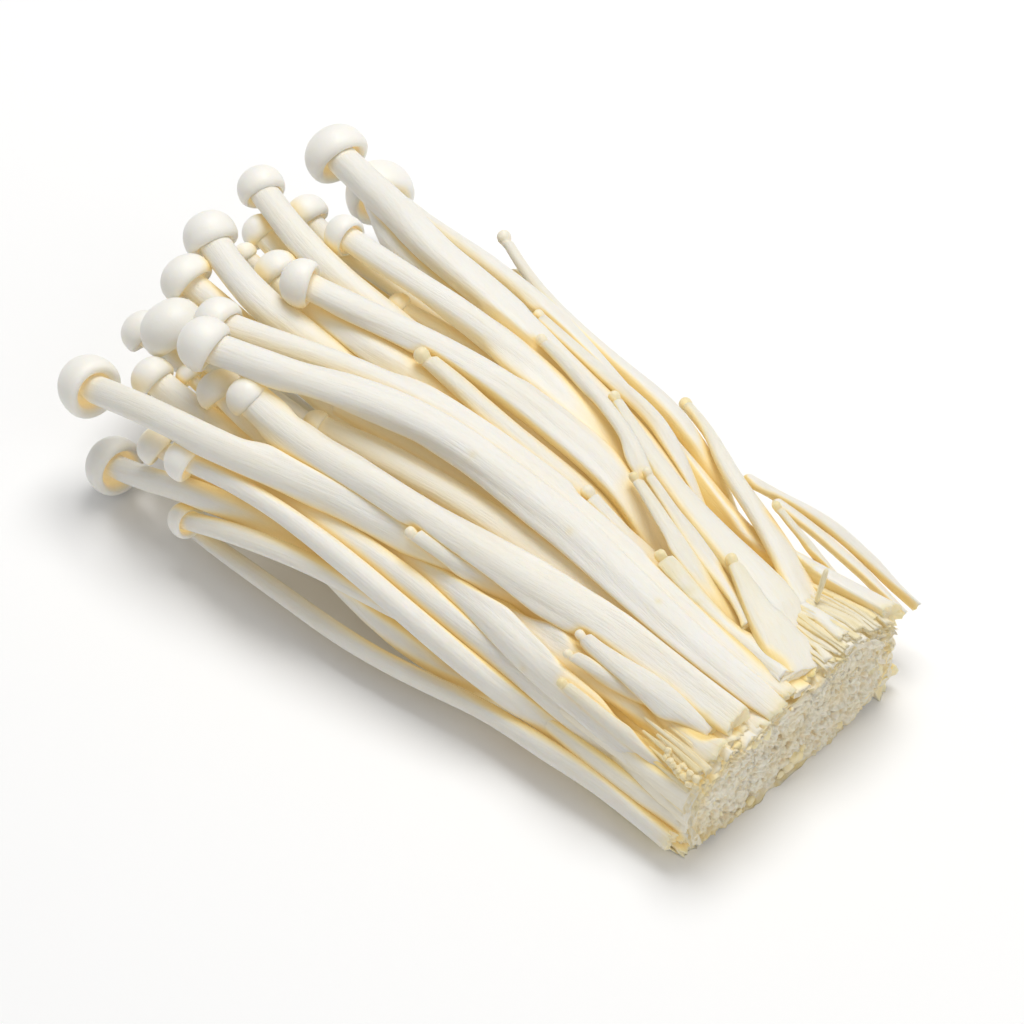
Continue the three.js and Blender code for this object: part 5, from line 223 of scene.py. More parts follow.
def stem_piece(name, P, rr, Rc, seg, slot, node=None, nod=0.35, pre=None, me=None, blade=0.0, reach_k=0.8, broad=1.0, flat0=0.03, flat1=0.20, wide=0.0, ragged=0.0, slender=False, seed=0, tone=0.0, step=0.9, dome_tip=True, yellow=0.0):
    """One mushroom from its cap (first row) to its foot (last row)."""
    r_ = np.random.default_rng(seed)
    if pre is None: Q, s = resample(np.column_stack([P, rr]), step)
    else: Q, s = pre
    C, R = Q[:, :3], Q[:, 3]
    n = len(C); Ltot = s[-1]
    T, up, side = frame_along(C)
    x = C[:, 0] - SX
    press = np.clip((x + 5) / 55, 0, 1) ** 1.2
    if slender: press = press * 0.5
    th = np.linspace(0, 2 * np.pi, seg, endpoint=False)
    # section: pressed flat toward the base, with long soft facets and fine grooves
    ph = r_.uniform(0, 6.28, 8); a3, a4, a5 = r_.uniform(0.012, 0.04, 3)
    if slender: a3 *= 0.6; a4 *= 0.6; a5 *= 0.6
    S = s[:, None] / 60
    twist = r_.uniform(-0.5, 0.5) * S
    th2 = th[None, :] + twist
    grow = (0.45 + 0.55 * press)[:, None]
    prof = 1 + grow * (a3 * np.cos(3 * th2 + ph[0] + 2.1 * S) + a4 * np.cos(4 * th2 + ph[1] - 1.3 * S) + a5 * np.cos(5 * th2 + ph[2] + 1.7 * S))
    gg = 0.024 * (0.35 + 0.65 * press)[:, None]
    prof += gg * (np.cos(9 * th2 + ph[3] + 3 * np.sin(2 * S + ph[6])) + 0.8 * np.cos(13 * th2 + ph[4] - 2.5 * S) + 0.6 * np.cos(19 * th2 + ph[5] + 4 * S))
    cr4 = np.abs(np.sin(3 * th2 + ph[6] + 0.6 * S)) ** 0.6 - 0.75; cr7 = np.abs(np.sin(6 * th2 + ph[7] - 0.8 * S)) ** 0.7 - 0.72
    prof += (press ** 1.3)[:, None] * (0.075 * cr4 + 0.050 * cr7)
    lump = vnoise(np.column_stack([s / 9, np.full(n, seed * 1.37), np.zeros(n)]), 3) * 0.035
    lump2 = vnoise(np.column_stack([s / 3.2, np.full(n, seed * 2.1), np.ones(n)]), 5) * 0.012
    Rn = R * (1 + lump + lump2)
    flat = flat0 + (flat1 - flat0) * press
    along = np.clip(s / Ltot, 0, 1)
    rw = Rn * (1 + flat + 0.10 + wide * press + blade * along ** 0.9)      # across the bundle
    rw = rw * broad
    sk = SINK.get(node, (Ltot - 9, Ltot)); sink = np.clip((s - sk[0]) / (sk[1] - sk[0]), 0, 1) if slender else np.zeros(n)
    rh = Rn * (1 - flat * 0.75) * (1 + (broad - 1) * np.clip((-25 - x) / 25, 0, 1)) * (1 - 0.40 * sink)             # outward
    if slender and me is not None:
        lf = LIFT.get(node, (0.30, 14)); lu = np.clip(1 - s / lf[1], 0, 1)
        C = C + up * (lf[0] * lu * lu * (3 - 2 * lu) - (1.35 if node in SINK else 0.75) * sink * R)[:, None]
    cx = np.cos(th)[None, :] * prof; cy = np.sin(th)[None, :] * prof
    X2, Y2 = rw[:, None] * cx, rh[:, None] * cy
    rad = np.hypot(X2, Y2); ang = np.arctan2(Y2, X2)
    if me is not None and reach_k >= 0: rad = pressed(C, T, side, up, R, rad, ang, me, x, slender, reach_k)
    V = C[:, None, :] + side[:, None, :] * (rad * np.cos(ang))[..., None] + up[:, None, :] * (rad * np.sin(ang))[..., None]
    rows = []; mask = []; sv = []; inn = []
    # ---- cap
    if Rc > 0:
        A = unit(C[0] - C[min(n - 1, int(4.5 / step))]); cU = unit(up[0] - (up[0] @ A) * A); cS = np.cross(A, cU) * -1.0
        cS = side[0] - (side[0] @ A) * A; cS = unit(cS)
        # a cap sits a little askew
        tilt = r_.normal(0, 0.07, 2); A2 = unit(A + np.array([0.0, 0.0, nod]) + cU * tilt[0] + cS * tilt[1]); cU2 = unit(cU - (cU @ A2) * A2); cS2 = unit(cS - (cS @ A2) * A2 - (cS @ cU2) * cU2)
        open_ = r_.uniform(0.0, 1.0)
        el = 1 + r_.normal(0, 0.035)
        hgt = r_.uniform(0.90, 1.02)
        nd = 15
        dome = []
        for i in range(nd):
            f = i / (nd - 1) * math.pi / 2
            dome.append((math.sin(f) ** 0.94, hgt * math.cos(f) ** 0.92 if i < nd - 1 else 0.0))
        dome[0] = (0.0, hgt)
        rs = min(R[1] / Rc, 0.86 if slender else 0.60)
        inner = max(rs + 0.10, 0.60 + 0.10 * open_)
        lip = 0.36 + 0.06 * open_
        under = [(1.0, -0.09), (0.985, -0.18), (0.95, -0.27), (0.895, -0.335), (0.83, -lip), (0.765, -lip + 0.01), (inner + 0.055, -lip + 0.07), (inner + 0.012, -0.21), (inner, -0.10), (inner - 0.015, 0.02), (inner - 0.06, 0.10), ((inner + rs) / 2, 0.14)]
        if slender:
            # a young bud: its cap barely overhangs and runs smoothly into the stem
            e = min(0.95, max(0.72, R[1] * 1.02 / Rc))
            under = [(1 - (1 - e) * f, ax) for f, ax in ((0.0, -0.14), (0.07, -0.30), (0.28, -0.48), (0.62, -0.66), (0.92, -0.82))]
        capprof = dome + under
        seg_c = seg
        cc = C[0]
        capV = []
        dimp = r_.uniform(0, 6.28)
        for k, (ra, ax) in enumerate(capprof):
            # gentle irregularity that keeps the rim closed
            wob = 1 + 0.018 * np.cos(2 * th + dimp) + 0.010 * np.cos(3 * th + dimp * 1.7)
            axw = 0.022 * np.cos(2 * th + dimp * 0.6) * min(1, ra) * (1 if ax < 0.2 else 0.4)
            ring = cc + Rc * ((ra * wob * el)[:, None] * (np.cos(th)[:, None] * cS2 + np.sin(th)[:, None] * cU2) + (ax + axw)[:, None] * A2)
            # the underside rows ramp 'inside' up into the recess under the rim, for painted shade there
            capV.append(ring); mask.append(1.0 if k < nd + 5 else (0.75 if k < nd + 7 else 0.35)); sv.append(-Rc * ax); inn.append(0.0 if k < nd + 6 else min(1.0, (k - nd - 5) / 4))
        # start the stem inside the cap
        i0 = int(np.searchsorted(s, Rc * (1.15 if slender else 0.20)))
        # the stem's first ring follows the cap's axis
        joint = cc + A2 * ((-0.92 if slender else 0.16) * Rc) + (np.cos(th)[:, None] * cS2 + np.sin(th)[:, None] * cU2) * (R[1] * 1.02)
        capV.append(joint); mask.append(0.2); sv.append(-0.1); inn.append(0.25 if slender else 0.9)
        rows = capV + [V[i] for i in range(max(i0, 1), n)]
        mask += [0.0] * (n - max(i0, 1)); sv += list(s[max(i0, 1):])
        # painted shade: golden tint where the cap covers the stem's neck
        for i in range(max(i0, 1), n): inn.append(float(np.clip(1 - (s[i] - 0.2 * Rc) / (0.75 * Rc), 0, 1)) * (0.15 if slender else 0.55))
        tip = cc + Rc * hgt * A2
        rows = rows[1:]; mask = mask[1:]; sv = sv[1:]; inn = inn[1:]
    else:
        # a blunt tip
        k = max(2, int(round(1.6 * R[0] / step)) + 1)
        rows = []; tipP = C[0] + unit(C[0] - C[1]) * R[0] * 0.9
        for i, (ra, ax) in enumerate([(0.34, 0.86), (0.62, 0.68), (0.83, 0.42), (0.95, 0.16)]):
            rows.append(C[0] + unit(C[0] - C[1]) * R[0] * ax * 0.9 + (V[0] - C[0]) * ra); mask.append(0.0); sv.append(-R[0] * ax); inn.append(0.0)
        rows += [V[i] for i in range(n)]; mask += [0.0] * n; sv += list(s); inn += [0.0] * n
        tip = tipP
    rows = [np.asarray(r) for r in rows]
    # ---- foot: a ragged cut end
    m = len(rows)
    end_c = C[-1]; end_t = T[-1]
    if ragged > 0:
        jag = ragged * (1.0 if slender else 1.5) * (0.6 * vnoise(np.column_stack([np.cos(th) * 2.2, np.sin(th) * 2.2, np.full(seg, seed * 3.3)]), 11) + 0.5 * vnoise(np.column_stack([np.cos(th) * 6, np.sin(th) * 6, np.full(seg, seed * 1.3)]), 12))
        rows[-1] = rows[-1] + end_t * jag[:, None]
        rows[-2] = rows[-2] + end_t * jag[:, None] * 0.3
    # the end rows take 'inside' 0.25, which tints the cut end and, on the mushrooms, adds a faint painted glow
    for f in (0.975, 0.82, 0.5, 0.22):
        rg = end_c + (rows[m - 1] - end_c) * f
        rg = rg - end_t * ((0.15 if f < 0.97 else 0.0) + ragged * (1 if f < 0.97 else 0.2) * (0.35 * vnoise(rg * 1.4, 21)[:, None]))
        rows.append(rg); mask.append(0.0); sv.append(s[-1]); inn.append(0.25)
    foot = rows[-1].mean(0)
    VV = np.vstack([np.array([tip])] + rows + [np.array([foot])])
    nr = len(rows); faces = []
    o = 1
    for j in range(seg): faces.append((0, o + j, o + (j + 1) % seg))
    for i in range(nr - 1):
        a = o + i * seg
        for j in range(seg):
            j2 = (j + 1) % seg
            faces.append((a + j, a + seg + j, a + seg + j2, a + j2))
    last = o + (nr - 1) * seg; e = o + nr * seg
    for j in range(seg): faces.append((last + j, e, last + (j + 1) % seg))
    # outward faces
    v0, v1, v2 = VV[faces[len(faces) // 2][0]], VV[faces[len(faces) // 2][1]], VV[faces[len(faces) // 2][2]]
    ctr = C[n // 2]
    fi = o + (nr // 2) * seg
    q = faces[seg + (nr // 2) * seg]
    nrm = np.cross(VV[q[1]] - VV[q[0]], VV[q[2]] - VV[q[0]])
    cen = VV[list(q)].mean(0); near = C[np.argmin(((C - cen) ** 2).sum(1))]
    if nrm @ (cen - near) < 0: faces = [tuple(reversed(f)) for f in faces]
    thv = np.concatenate([[0.0], np.tile(th, nr), [0.0]])
    svv = np.concatenate([[sv[0]], np.repeat(sv, seg), [sv[-1]]])
    fib = np.column_stack([np.cos(thv), np.sin(thv), svv + seed * 37.0])
    cap = np.concatenate([[mask[0]], np.repeat(mask, seg), [mask[-1]]])
    inside = np.concatenate([[inn[0]], np.repeat(inn, seg), [inn[-1]]])
    xx = VV[:, 0] - SX
    foot_y = np.clip((xx - 18) / 42, 0, 1) ** 1.5
    mine = me if me is not None else len(CHAINS)
    pieces.append(dict(name=name, node=node, V=VV, F=faces, fib=fib, cap=cap, inside=inside, tone=np.full(len(VV), tone) , foot=foot_y, yellow=np.clip(0.9 * np.exp(-np.clip(Ltot - svv, 0, None) / 1.3), 0, 1) if not slender and me is not None else yellow * ((0.12 + 0.88 * np.exp(-np.clip(svv, 0, None) / 10.0)) if (slender and me is not None) else np.ones(len(VV))), slot=slot, me=mine, seg=seg))
    if me is None: CHAINS.append((C[::2], R[::2]))

# how far each cap nods up from its stem's line, and the fullness of the radius where stems are wide
NOD = {'mushroom_10': 0.05, 'mushroom_14': -0.02, 'mushroom_20': 0.22, 'mushroom_01': 0.38, 'mushroom_03': 0.5, 'mushroom_11': 0.55, 'mushroom_16': 0.65, 'mushroom_18': 0.42, 'mushroom_21': 0.5, 'mushroom_22': 0.45, 'mushroom_17': 0.28, 'mushroom_12': 0.3, 'mushroom_13': 0.35, 'mushroom_15': 0.4, 'mushroom_19': 0.22, 'mushroom_23': 0.25, 'mushroom_26': 0.4, 'mushroom_30': 0.35, 'mushroom_31': 0.35, 'mushroom_02': 0.45, 'mushroom_04': 0.4, 'mushroom_05': 0.35, 'mushroom_06': 0.4, 'mushroom_25': 0.35, 'mushroom_07': 0.3, 'mushroom_08': 0.3}
WIDE = {'mushroom_04': 1.1, 'mushroom_05': 1.1, 'mushroom_19': 1.12, 'mushroom_16': 1.1, 'mushroom_15': 1.1, 'mushroom_21': 1.08, 'mushroom_23': 1.08, 'mushroom_28': 1.1, 'mushroom_29': 1.1, 'mushroom_17': 1.08, 'mushroom_18': 1.08, 'mushroom_20': 1.12, 'mushroom_22': 1.08, 'mushroom_01': 1.35, 'mushroom_02': 1.45, 'mushroom_03': 1.1, 'mushroom_11': 1.1, 'mushroom_12': 1.08, 'mushroom_10': 1.05, 'mushroom_14': 1.08, 'mushroom_31': 0.85, 'mushroom_32': 0.8, 'mushroom_26': 0.9}
BLADE = {'slender_mushroom_05': 1, 'slender_mushroom_06': 0.55, 'slender_mushroom_15': 0.9, 'slender_mushroom_01': 0.5, 'slender_mushroom_09': 1, 'slender_mushroom_07': 0.8, 'slender_mushroom_08': 0.8, 'slender_mushroom_14': 0.6, 'slender_mushroom_16': 2, 'slender_mushroom_11': 0.3, 'slender_mushroom_12': 0.3, 'slender_mushroom_10': 0.3, 'slender_mushroom_02': 0.4, 'slender_mushroom_03': 0.4, 'mushroom_01': 0.35, 'mushroom_02': 0.15, 'mushroom_03': 0.1, 'mushroom_11': 0.15}
SINK = {'slender_mushroom_07': (5, 22), 'slender_mushroom_08': (3, 18), 'slender_mushroom_16': (3, 14), 'slender_mushroom_09': (7, 22), 'slender_mushroom_10': (9, 20), 'slender_mushroom_02': (30, 50), 'slender_mushroom_11': (14, 26), 'slender_mushroom_12': (12, 24), 'slender_mushroom_13': (9, 20), 'slender_mushroom_14': (8, 20)}
LIFT = {'slender_mushroom_05': (2.2, 34), 'slender_mushroom_06': (0.5, 20), 'slender_mushroom_02': (0.6, 20), 'slender_mushroom_03': (0.4, 16), 'slender_mushroom_15': (0.8, 14)}
YEL = {'slender_mushroom_01': 0.1, 'slender_mushroom_02': 0.35, 'slender_mushroom_03': 0.45, 'slender_mushroom_04': 0.7, 'slender_mushroom_05': 0.6, 'slender_mushroom_06': 0.9, 'slender_mushroom_07': 0.95, 'slender_mushroom_08': 0.35, 'slender_mushroom_09': 0.25, 'slender_mushroom_14': 1, 'slender_mushroom_15': 0.85, 'slender_mushroom_16': 0.8, 'slender_mushroom_10': 0.3, 'slender_mushroom_11': 0.15, 'slender_mushroom_12': 0.35, 'slender_mushroom_13': 0.9, 'slender_mushroom_17': 0.1, 'slender_mushroom_18': 0.1}
REACH = {'slender_mushroom_05': -1, 'slender_mushroom_06': -1, 'slender_mushroom_15': -1, 'mushroom_31': 0.15, 'mushroom_32': 0.15, 'mushroom_26': 0.3, 'mushroom_30': 0.4, 'mushroom_27': 0.4}
CAPK = {'slender_mushroom_16': 0.5, 'mushroom_01': 1.14, 'mushroom_02': 1.25, 'mushroom_03': 1.06, 'mushroom_20': 1.04, 'mushroom_16': 1.12, 'mushroom_14': 1.12}
LOOSE = ('slender_mushroom_17', 'slender_mushroom_18')

# ------------------------------------------------------------------ the mushrooms
PRE = []
for k, (name, Rc, end, rows) in enumerate(STEMS):
    A = np.array(rows)
    P = A[:, :3].copy(); slender = name.startswith("slender")
    rr = 0.15 * A[:, 3] + 0.85 * A[:, 4]
    if slender: rr = 0.40 * A[:, 3] + 0.60 * A[:, 4]
    ragged = 0.0
    if end == "slab" or (end == "free" and name not in LOOSE):
        d = unit(P[-1] - P[-3]); xe = 60.2 + SX + rng.uniform(-1.6, 0.8)
        if slender: xe -= rng.uniform(1.0, 4.0)
        if P[-1, 0] < xe - 0.3 and P[-1, 0] > 50 + SX:
            f = (xe - P[-1, 0]) / max(d[0], 0.3); P = np.vstack([P, P[-1] + d * f]); rr = np.r_[rr, rr[-1]]
        ragged = 0.9
    elif end == "core":
        # into the fused base: the outer ones run on along its surface to the cut
        y0, z0 = P[-1, 1] - SY, P[-1, 2]
        if z0 > 13.5 or abs(y0) > 14.5:
            n2 = 7; xe = 60.6 + rng.uniform(-1.2, 0.6)
            for q in range(1, n2 + 1):
                u = q / n2; xx = 32 + (xe - 32) * u
                yy = y0 * (1 + 0.10 * u); zz = z0 * (1 + (0.115 if z0 > 13.5 else 0.03) * u) + (0.7 * np.clip((y0 - 3) / 9, 0, 1) * u if z0 > 13.5 else 0)
                P = np.vstack([P, [xx + SX, yy + SY, zz]]); rr = np.r_[rr, rr[-1] * (1.0 + 0.02)]
            ragged = 0.8
        else:
            d = unit(P[-1] - P[-3]); P = np.vstack([P, P[-1] + d * 5.0]); rr = np.r_[rr, rr[-1] * 1.05]
    else:
        ragged = 0.25
    step = 0.7 if slender else 0.85
    Q, s = resample(np.column_stack([P, rr]), step)
    Q[:, :3] = smooth1(Q[:, :3], 6)
    PRE.append((Q, s, ragged)); CHAINS.append((Q[::2, :3], Q[::2, 3]))
ALLC = np.vstack([q[0][:, :3] for q in PRE]); ALLR = np.concatenate([q[0][:, 3] for q in PRE]); ALLI = np.concatenate([np.full(len(q[0]), i) for i, q in enumerate(PRE)])

for k, (name, Rc, end, rows) in enumerate(STEMS):
    Q, s, ragged = PRE[k]; slender = name.startswith("slender")
    if Rc > 0: Rc = max(Rc * 0.80 * CAPK.get(name, 1.0), Q[1, 3] * 1.12) if slender else Rc * CAPK.get(name, 1.06)
    seg = 24 if slender else 44
    stem_piece("flesh_" + name, Q[:, :3], Q[:, 3], Rc, seg, "slender" if slender else "mushroom", node=name, pre=(Q, s), me=k, blade=BLADE.get(name, 0.0), reach_k=REACH.get(name, 0.8), broad=WIDE.get(name, 1.0),
               flat1=0.50 if slender else 0.28, wide=0.0 if slender else (0.16 if end == "slab" else 0.10), ragged=ragged, slender=slender,
               seed=k + 1, nod=NOD.get(name, 0.35), tone=rng.uniform(-1, 1), step=0.7 if slender else 0.85, yellow=YEL.get(name, 0.3) if slender else 0.0)

# ------------------------------------------------------------------ the fused base
CUT = 61.2
def base_section(a, x):
    """Outline of the fused base at drawing station x, angle a (0 = +Y, pi/2 = up), mm."""
    c, s_ = np.cos(a), np.sin(a)
    t = np.clip((x - 34) / 24, 0, 1)
    hw = 19.5 + 2.9 * t; top = 15.2 + 2.6 * t
    y = -0.3 + hw * np.sign(c) * np.abs(c) ** (2 / 3.4)
    zc = top / 2
    z = zc + (top / 2 + 0.3) * np.sign(s_) * np.abs(s_) ** (2 / 3.4)
    # the far part of the top stands higher at the cut
    lift = np.clip((y - 3) / 9, 0, 1) * t * 2.4 * np.clip((z - 8) / 8, 0, 1)
    z = z + lift
    # the far lower corner is rounded off
    cut = np.clip((y - 15) / 8, 0, 1) * np.clip((6 - z) / 6, 0, 1)
    z = z + cut * 2.6
    return y, z

def base_mesh():
    na = 520
    a = np.linspace(0, 2 * np.pi, na, endpoint=False)
    xs = np.concatenate([[33.0, 33.0, 33.6], np.linspace(34.5, 57.5, 26), np.linspace(58, CUT, 12)])
    ks = np.concatenate([[0.4, 0.93, 0.985], np.ones(26), np.ones(12)])
    V = []; face = []
    per = a / (2 * np.pi)
    for x, k in zip(xs, ks):
        y, z = base_section(a, x)
        cy, cz = -0.3, 7.5
        # ridges of fused stems that run along X
        ang = np.unwrap(a)
        u = np.cumsum(np.hypot(np.gradient(y), np.gradient(z)))
        q = np.column_stack([u * 0.62 + 0.5 * np.sin(x * 0.11), np.full(na, x * 0.035), np.zeros(na)])
        ridge = np.abs(vnoise(q, 31)); q2 = np.column_stack([u * 1.7, np.full(na, x * 0.05), np.zeros(na)]); ridge2 = np.abs(vnoise(q2, 32))
        q3 = np.column_stack([u * 4.1, np.full(na, x * 0.08), np.zeros(na)]); ridge3 = vnoise(q3, 33)
        amp = 1.15 * ridge + 0.55 * ridge2 + 0.14 * ridge3
        nearcut = np.clip((x - 56) / 5, 0, 1)
        rag = nearcut * (0.5 * vnoise(np.column_stack([u * 0.9, np.full(na, x * 0.5), np.ones(na)]), 34) + 0.35 * vnoise(np.column_stack([u * 2.3, np.full(na, x * 0.9), np.ones(na)]), 35))
        rad = np.stack([y - cy, z - cz], 1); rl = np.linalg.norm(rad, axis=1, keepdims=True); ru = rad / rl
        fl = np.clip(z / 2.5, 0, 1)                      # the underside stays flat where it lies
        rad = rad * k + ru * ((amp - 0.9 + rag) * fl)[:, None]
        yy, zz = cy + rad[:, 0], np.maximum(cz + rad[:, 1], 0.02)
        V.append(np.column_stack([np.full(na, x), yy, zz])); face.append(np.zeros(na))
    ragx = 0.5 * vnoise(np.column_stack([np.cos(a) * 14, np.sin(a) * 9, np.zeros(na)]), 41) + 0.35 * vnoise(np.column_stack([np.cos(a) * 40, np.sin(a) * 24, np.zeros(na)]), 42)
    V[-1][:, 0] += ragx * 0.9; V[-2][:, 0] += ragx * 0.5
    nsides = len(V)
    rim = V[-1].copy()
    kf = np.linspace(1, 0.02, 84)[1:]
    ctr = np.array([CUT, -0.3, 8.6])
    for k in kf:
        P = ctr + (rim - ctr) * k; P[:, 0] = CUT
        d_edge = 1 - k
        yz = P[:, 1:]
        b1, b2, cid = worley(yz / 3.1 + 0.12 * np.column_stack([vnoise(np.column_stack([yz * 0.9, np.zeros(na)]), 51), vnoise(np.column_stack([yz * 0.9, np.ones(na)]), 52)]) * 3, 7)
        cell = (0.42 - b1 ** 2) * 0.40 + (cid - 0.5) * 0.42
        crease = -0.26 * np.exp(-((b2 - b1) / 0.14) ** 2)
        c1, c2, _ = worley(yz / 0.95 + 3.3, 9)
        small = (0.35 - c1) * 0.42
        pit = -1.2 * np.clip(vnoise(np.column_stack([yz * 1.1, np.zeros(na)]), 53) - 0.32, 0, 1) ** 0.8
        pit2 = -1.6 * np.clip(vnoise(np.column_stack([yz * 2.2, np.zeros(na)]), 54) - 0.26, 0, 1)
        fine = 0.10 * vnoise(np.column_stack([yz * 4.5, np.zeros(na)]), 55) + 0.06 * vnoise(np.column_stack([yz * 9, np.zeros(na)]), 56)
        wav = 0.6 * vnoise(np.column_stack([yz * 0.16, np.zeros(na)]), 57)
        e = np.clip(d_edge / 0.05, 0, 1)
        P[:, 0] += e * (cell + crease + small + pit + pit2 + fine + wav) * 0.9 + (1 - e) * (rim[:, 0] - CUT)
        V.append(P); face.append(np.clip(-(crease + pit + pit2), 0, 1.2))
    fr = np.array([[33.0, -0.3, 7.5]]); bk = np.array([[CUT, -0.3, 8.6]])
    VV = np.vstack([fr] + V + [bk]); n = len(V); F = []
    for j in range(na): F.append((0, 1 + j, 1 + (j + 1) % na))
    for i in range(n - 1):
        o = 1 + i * na
        for j in range(na):
            j2 = (j + 1) % na; F.append((o + j, o + na + j, o + na + j2, o + j2))
    o = 1 + (n - 1) * na; e = 1 + n * na
    for j in range(na): F.append((o + j, e, o + (j + 1) % na))
    # face outward test on a side quad at the top
    q = F[na + 10 * na + na // 4]; nrm = np.cross(VV[q[1]] - VV[q[0]], VV[q[2]] - VV[q[0]])
    if nrm[2] < 0: F = [tuple(reversed(f)) for f in F]
    pitv = np.concatenate([[0]] + face + [[0]])
    isface = np.concatenate([[0]] + [np.full(na, 1.0 if i >= nsides - 1 else 0.0) for i in range(n)] + [[1]])
    edge = np.concatenate([[0]] + [np.full(na, (0.0 if i < nsides - 6 else 1.0) if i < nsides else float(np.clip(1 - (1 - kf[i - nsides]) / 0.12, 0, 1))) for i in range(n)] + [[0]])
    VV[:, 0] += SX; VV[:, 1] += SY
    uu = np.concatenate([[0]] + [np.cos(a) * 3] * n + [[0]]); vv = np.concatenate([[0]] + [np.sin(a) * 3] * n + [[0]])
    fib = np.column_stack([uu, vv, VV[:, 0]])
    return VV, F, fib, pitv, isface, edge

bV, bF, bfib, bpit, bface, bedge = base_mesh()

# ------------------------------------------------------------------ strands fused on the base
strand_groups = {"top": [], "near_side": [], "far_side": []}
def add_strand(group, path, r0, r1, wide, seed, yellow, ragged=0.35, seg=10):
    pcs = len(pieces)
    P = np.array(path)
    P[:, 0] += SX; P[:, 1] += SY
    rr = np.interp(np.linspace(0, 1, len(P)), [0, 0.15, 1], [r0 * 0.75, r0, r1])
    stem_piece("tmp", P, rr, 0.0, seg, "base", flat0=wide, flat1=wide, ragged=ragged, slender=True, seed=seed, step=0.8, tone=rng.uniform(-1, 1), yellow=yellow)
    strand_groups[group].append(pieces.pop(pcs))
    CHAINS.pop()

def surf_path(a0, x0, x1, wig, lift, n=9, lean=0.0):
    xs = np.linspace(x0, x1, n); out = []
    for i, x in enumerate(xs):
        a = a0 + wig * math.sin(i * 0.9 + a0 * 7) * 0.02 + lean * (i / (n - 1) - 0.5)
        y, z = base_section(np.array([a]), x)
        y, z = float(y[0]), float(z[0])
        ru = np.array([y + 0.3, z - 7.5]); ru /= np.linalg.norm(ru)
        l = lift if not callable(lift) else lift(i / (n - 1))
        out.append([x, y + ru[0] * l, max(z + ru[1] * l, 0.9)])
    return out

sd = 500
def fill(group, a_from, a_to, count, x_rng, r_rng, lift_rng, yellow_rng, x_end=(59.6, 61.6)):
    global sd
    for i in range(count):
        a = a_from + (a_to - a_from) * (i + rng.uniform(0.1, 0.9)) / count
        sd += 1
        r = rng.uniform(*r_rng)
        l1 = rng.uniform(*lift_rng)
        add_strand(group, surf_path(a, rng.uniform(*x_rng), rng.uniform(*x_end), rng.uniform(-1, 1), lambda t, l1=l1: l1 * (1 - 0.3 * t), lean=rng.normal(0, 0.03)), r * rng.uniform(0.55, 0.9), r, rng.uniform(0.1, 0.45), sd, rng.uniform(*yellow_rng))

PI = math.pi
# wide fused stems first, then slim ones over them
fill("top", 0.16 * PI, 0.88 * PI, 14, (30, 40), (1.0, 1.7), (-0.4, 0.5), (0.0, 0.35))
fill("top", 0.13 * PI, 0.46 * PI, 40, (40, 54), (0.45, 0.95), (1.0, 2.2), (0.2, 1.3))
fill("top", 0.46 * PI, 0.88 * PI, 22, (44, 56), (0.4, 0.85), (0.8, 1.8), (0.1, 0.8))
fill("near_side", 0.88 * PI, 1.13 * PI, 14, (26, 40), (1.2, 1.9), (-0.4, 0.3), (0.0, 0.3))
fill("near_side", 0.88 * PI, 1.12 * PI, 22, (36, 54), (0.4, 0.9), (0.6, 1.6), (0.1, 0.9))
fill("far_side", -0.12 * PI, 0.16 * PI, 14, (26, 40), (1.2, 1.9), (-0.5, 0.2), (0.0, 0.3))
fill("far_side", -0.10 * PI, 0.16 * PI, 20, (36, 54), (0.4, 0.9), (0.3, 1.2), (0.1, 0.9))

add_strand("near_side", [(27, -25.2, 9.7), (38, -25.0, 9.5), (48, -24.5, 9.2), (56, -23.5, 8.0), (60.8, -22.9, 7.2)], 1.3, 1.8, 0.15, 930, 0.10)
add_strand("near_side", [(30, -24.2, 14.2), (42, -23.4, 13.9), (52, -22.5, 12.8), (60.6, -22.0, 11.6)], 1.1, 1.5, 0.15, 931, 0.15)
for k_, (z_, r_a, r_b, xa) in enumerate([(5.4, 1.1, 1.7, 22), (8.2, 1.2, 1.9, 30), (11.2, 1.0, 1.7, 20), (13.8, 1.0, 1.6, 33), (3.2, 0.8, 1.2, 34)]):
    add_strand("near_side", [(xa, -19.6, z_ + 0.5), (xa + 7, -21.4, z_ + 0.3), (46, -22.6, z_), (54, -23.0, z_), (60.6 + rng.uniform(-0.8, 0.6), -22.9, z_ + 0.2)], r_a, r_b, 0.25, 940 + k_, rng.uniform(0.0, 0.25))
# a short withered bud on the far part, a dried skin along the near foot, and thin slivers over the corner
add_strand("top", [(50.68, 17.20, 25.00), (50.87, 16.48, 23.52), (51.06, 15.76, 22.03), (51.26, 15.01, 20.50)], 0.62, 0.72, 0.1, 901, 1.0, ragged=0.2)
add_strand("near_side", [(33.5, -22.6, 1.6), (38.0, -23.6, 1.2), (44.8, -24.5, 1.0), (53.2, -24.6, 1.0), (59.6, -24.0, 1.2)], 0.42, 0.62, 0.9, 902, 1.25)
add_strand("near_side", [(36.5, -23.2, 2.6), (42.0, -23.9, 2.0), (49.0, -24.3, 1.9), (58.2, -23.9, 2.3)], 0.30, 0.50, 0.8, 903, 0.9)
for k_ in range(9):
    y_ = -22.6 + k_ * 0.75 + rng.uniform(-0.2, 0.2); z_ = 14.5 + 3.0 * min(1.0, k_ / 3.0) + rng.uniform(-0.3, 0.5); x_ = rng.uniform(46, 53)
    add_strand("near_side", [(x_, y_ + 0.2, z_ + 1.2), (x_ + 3.5, y_, z_ + 1.4), (57.0, y_ - 0.1, z_ + 1.2), (60.8 + rng.uniform(-0.8, 0.8), y_ - 0.3, z_ + 0.9)], 0.22, rng.uniform(0.32, 0.5), 0.3, 910 + k_, rng.uniform(0.7, 1.2))

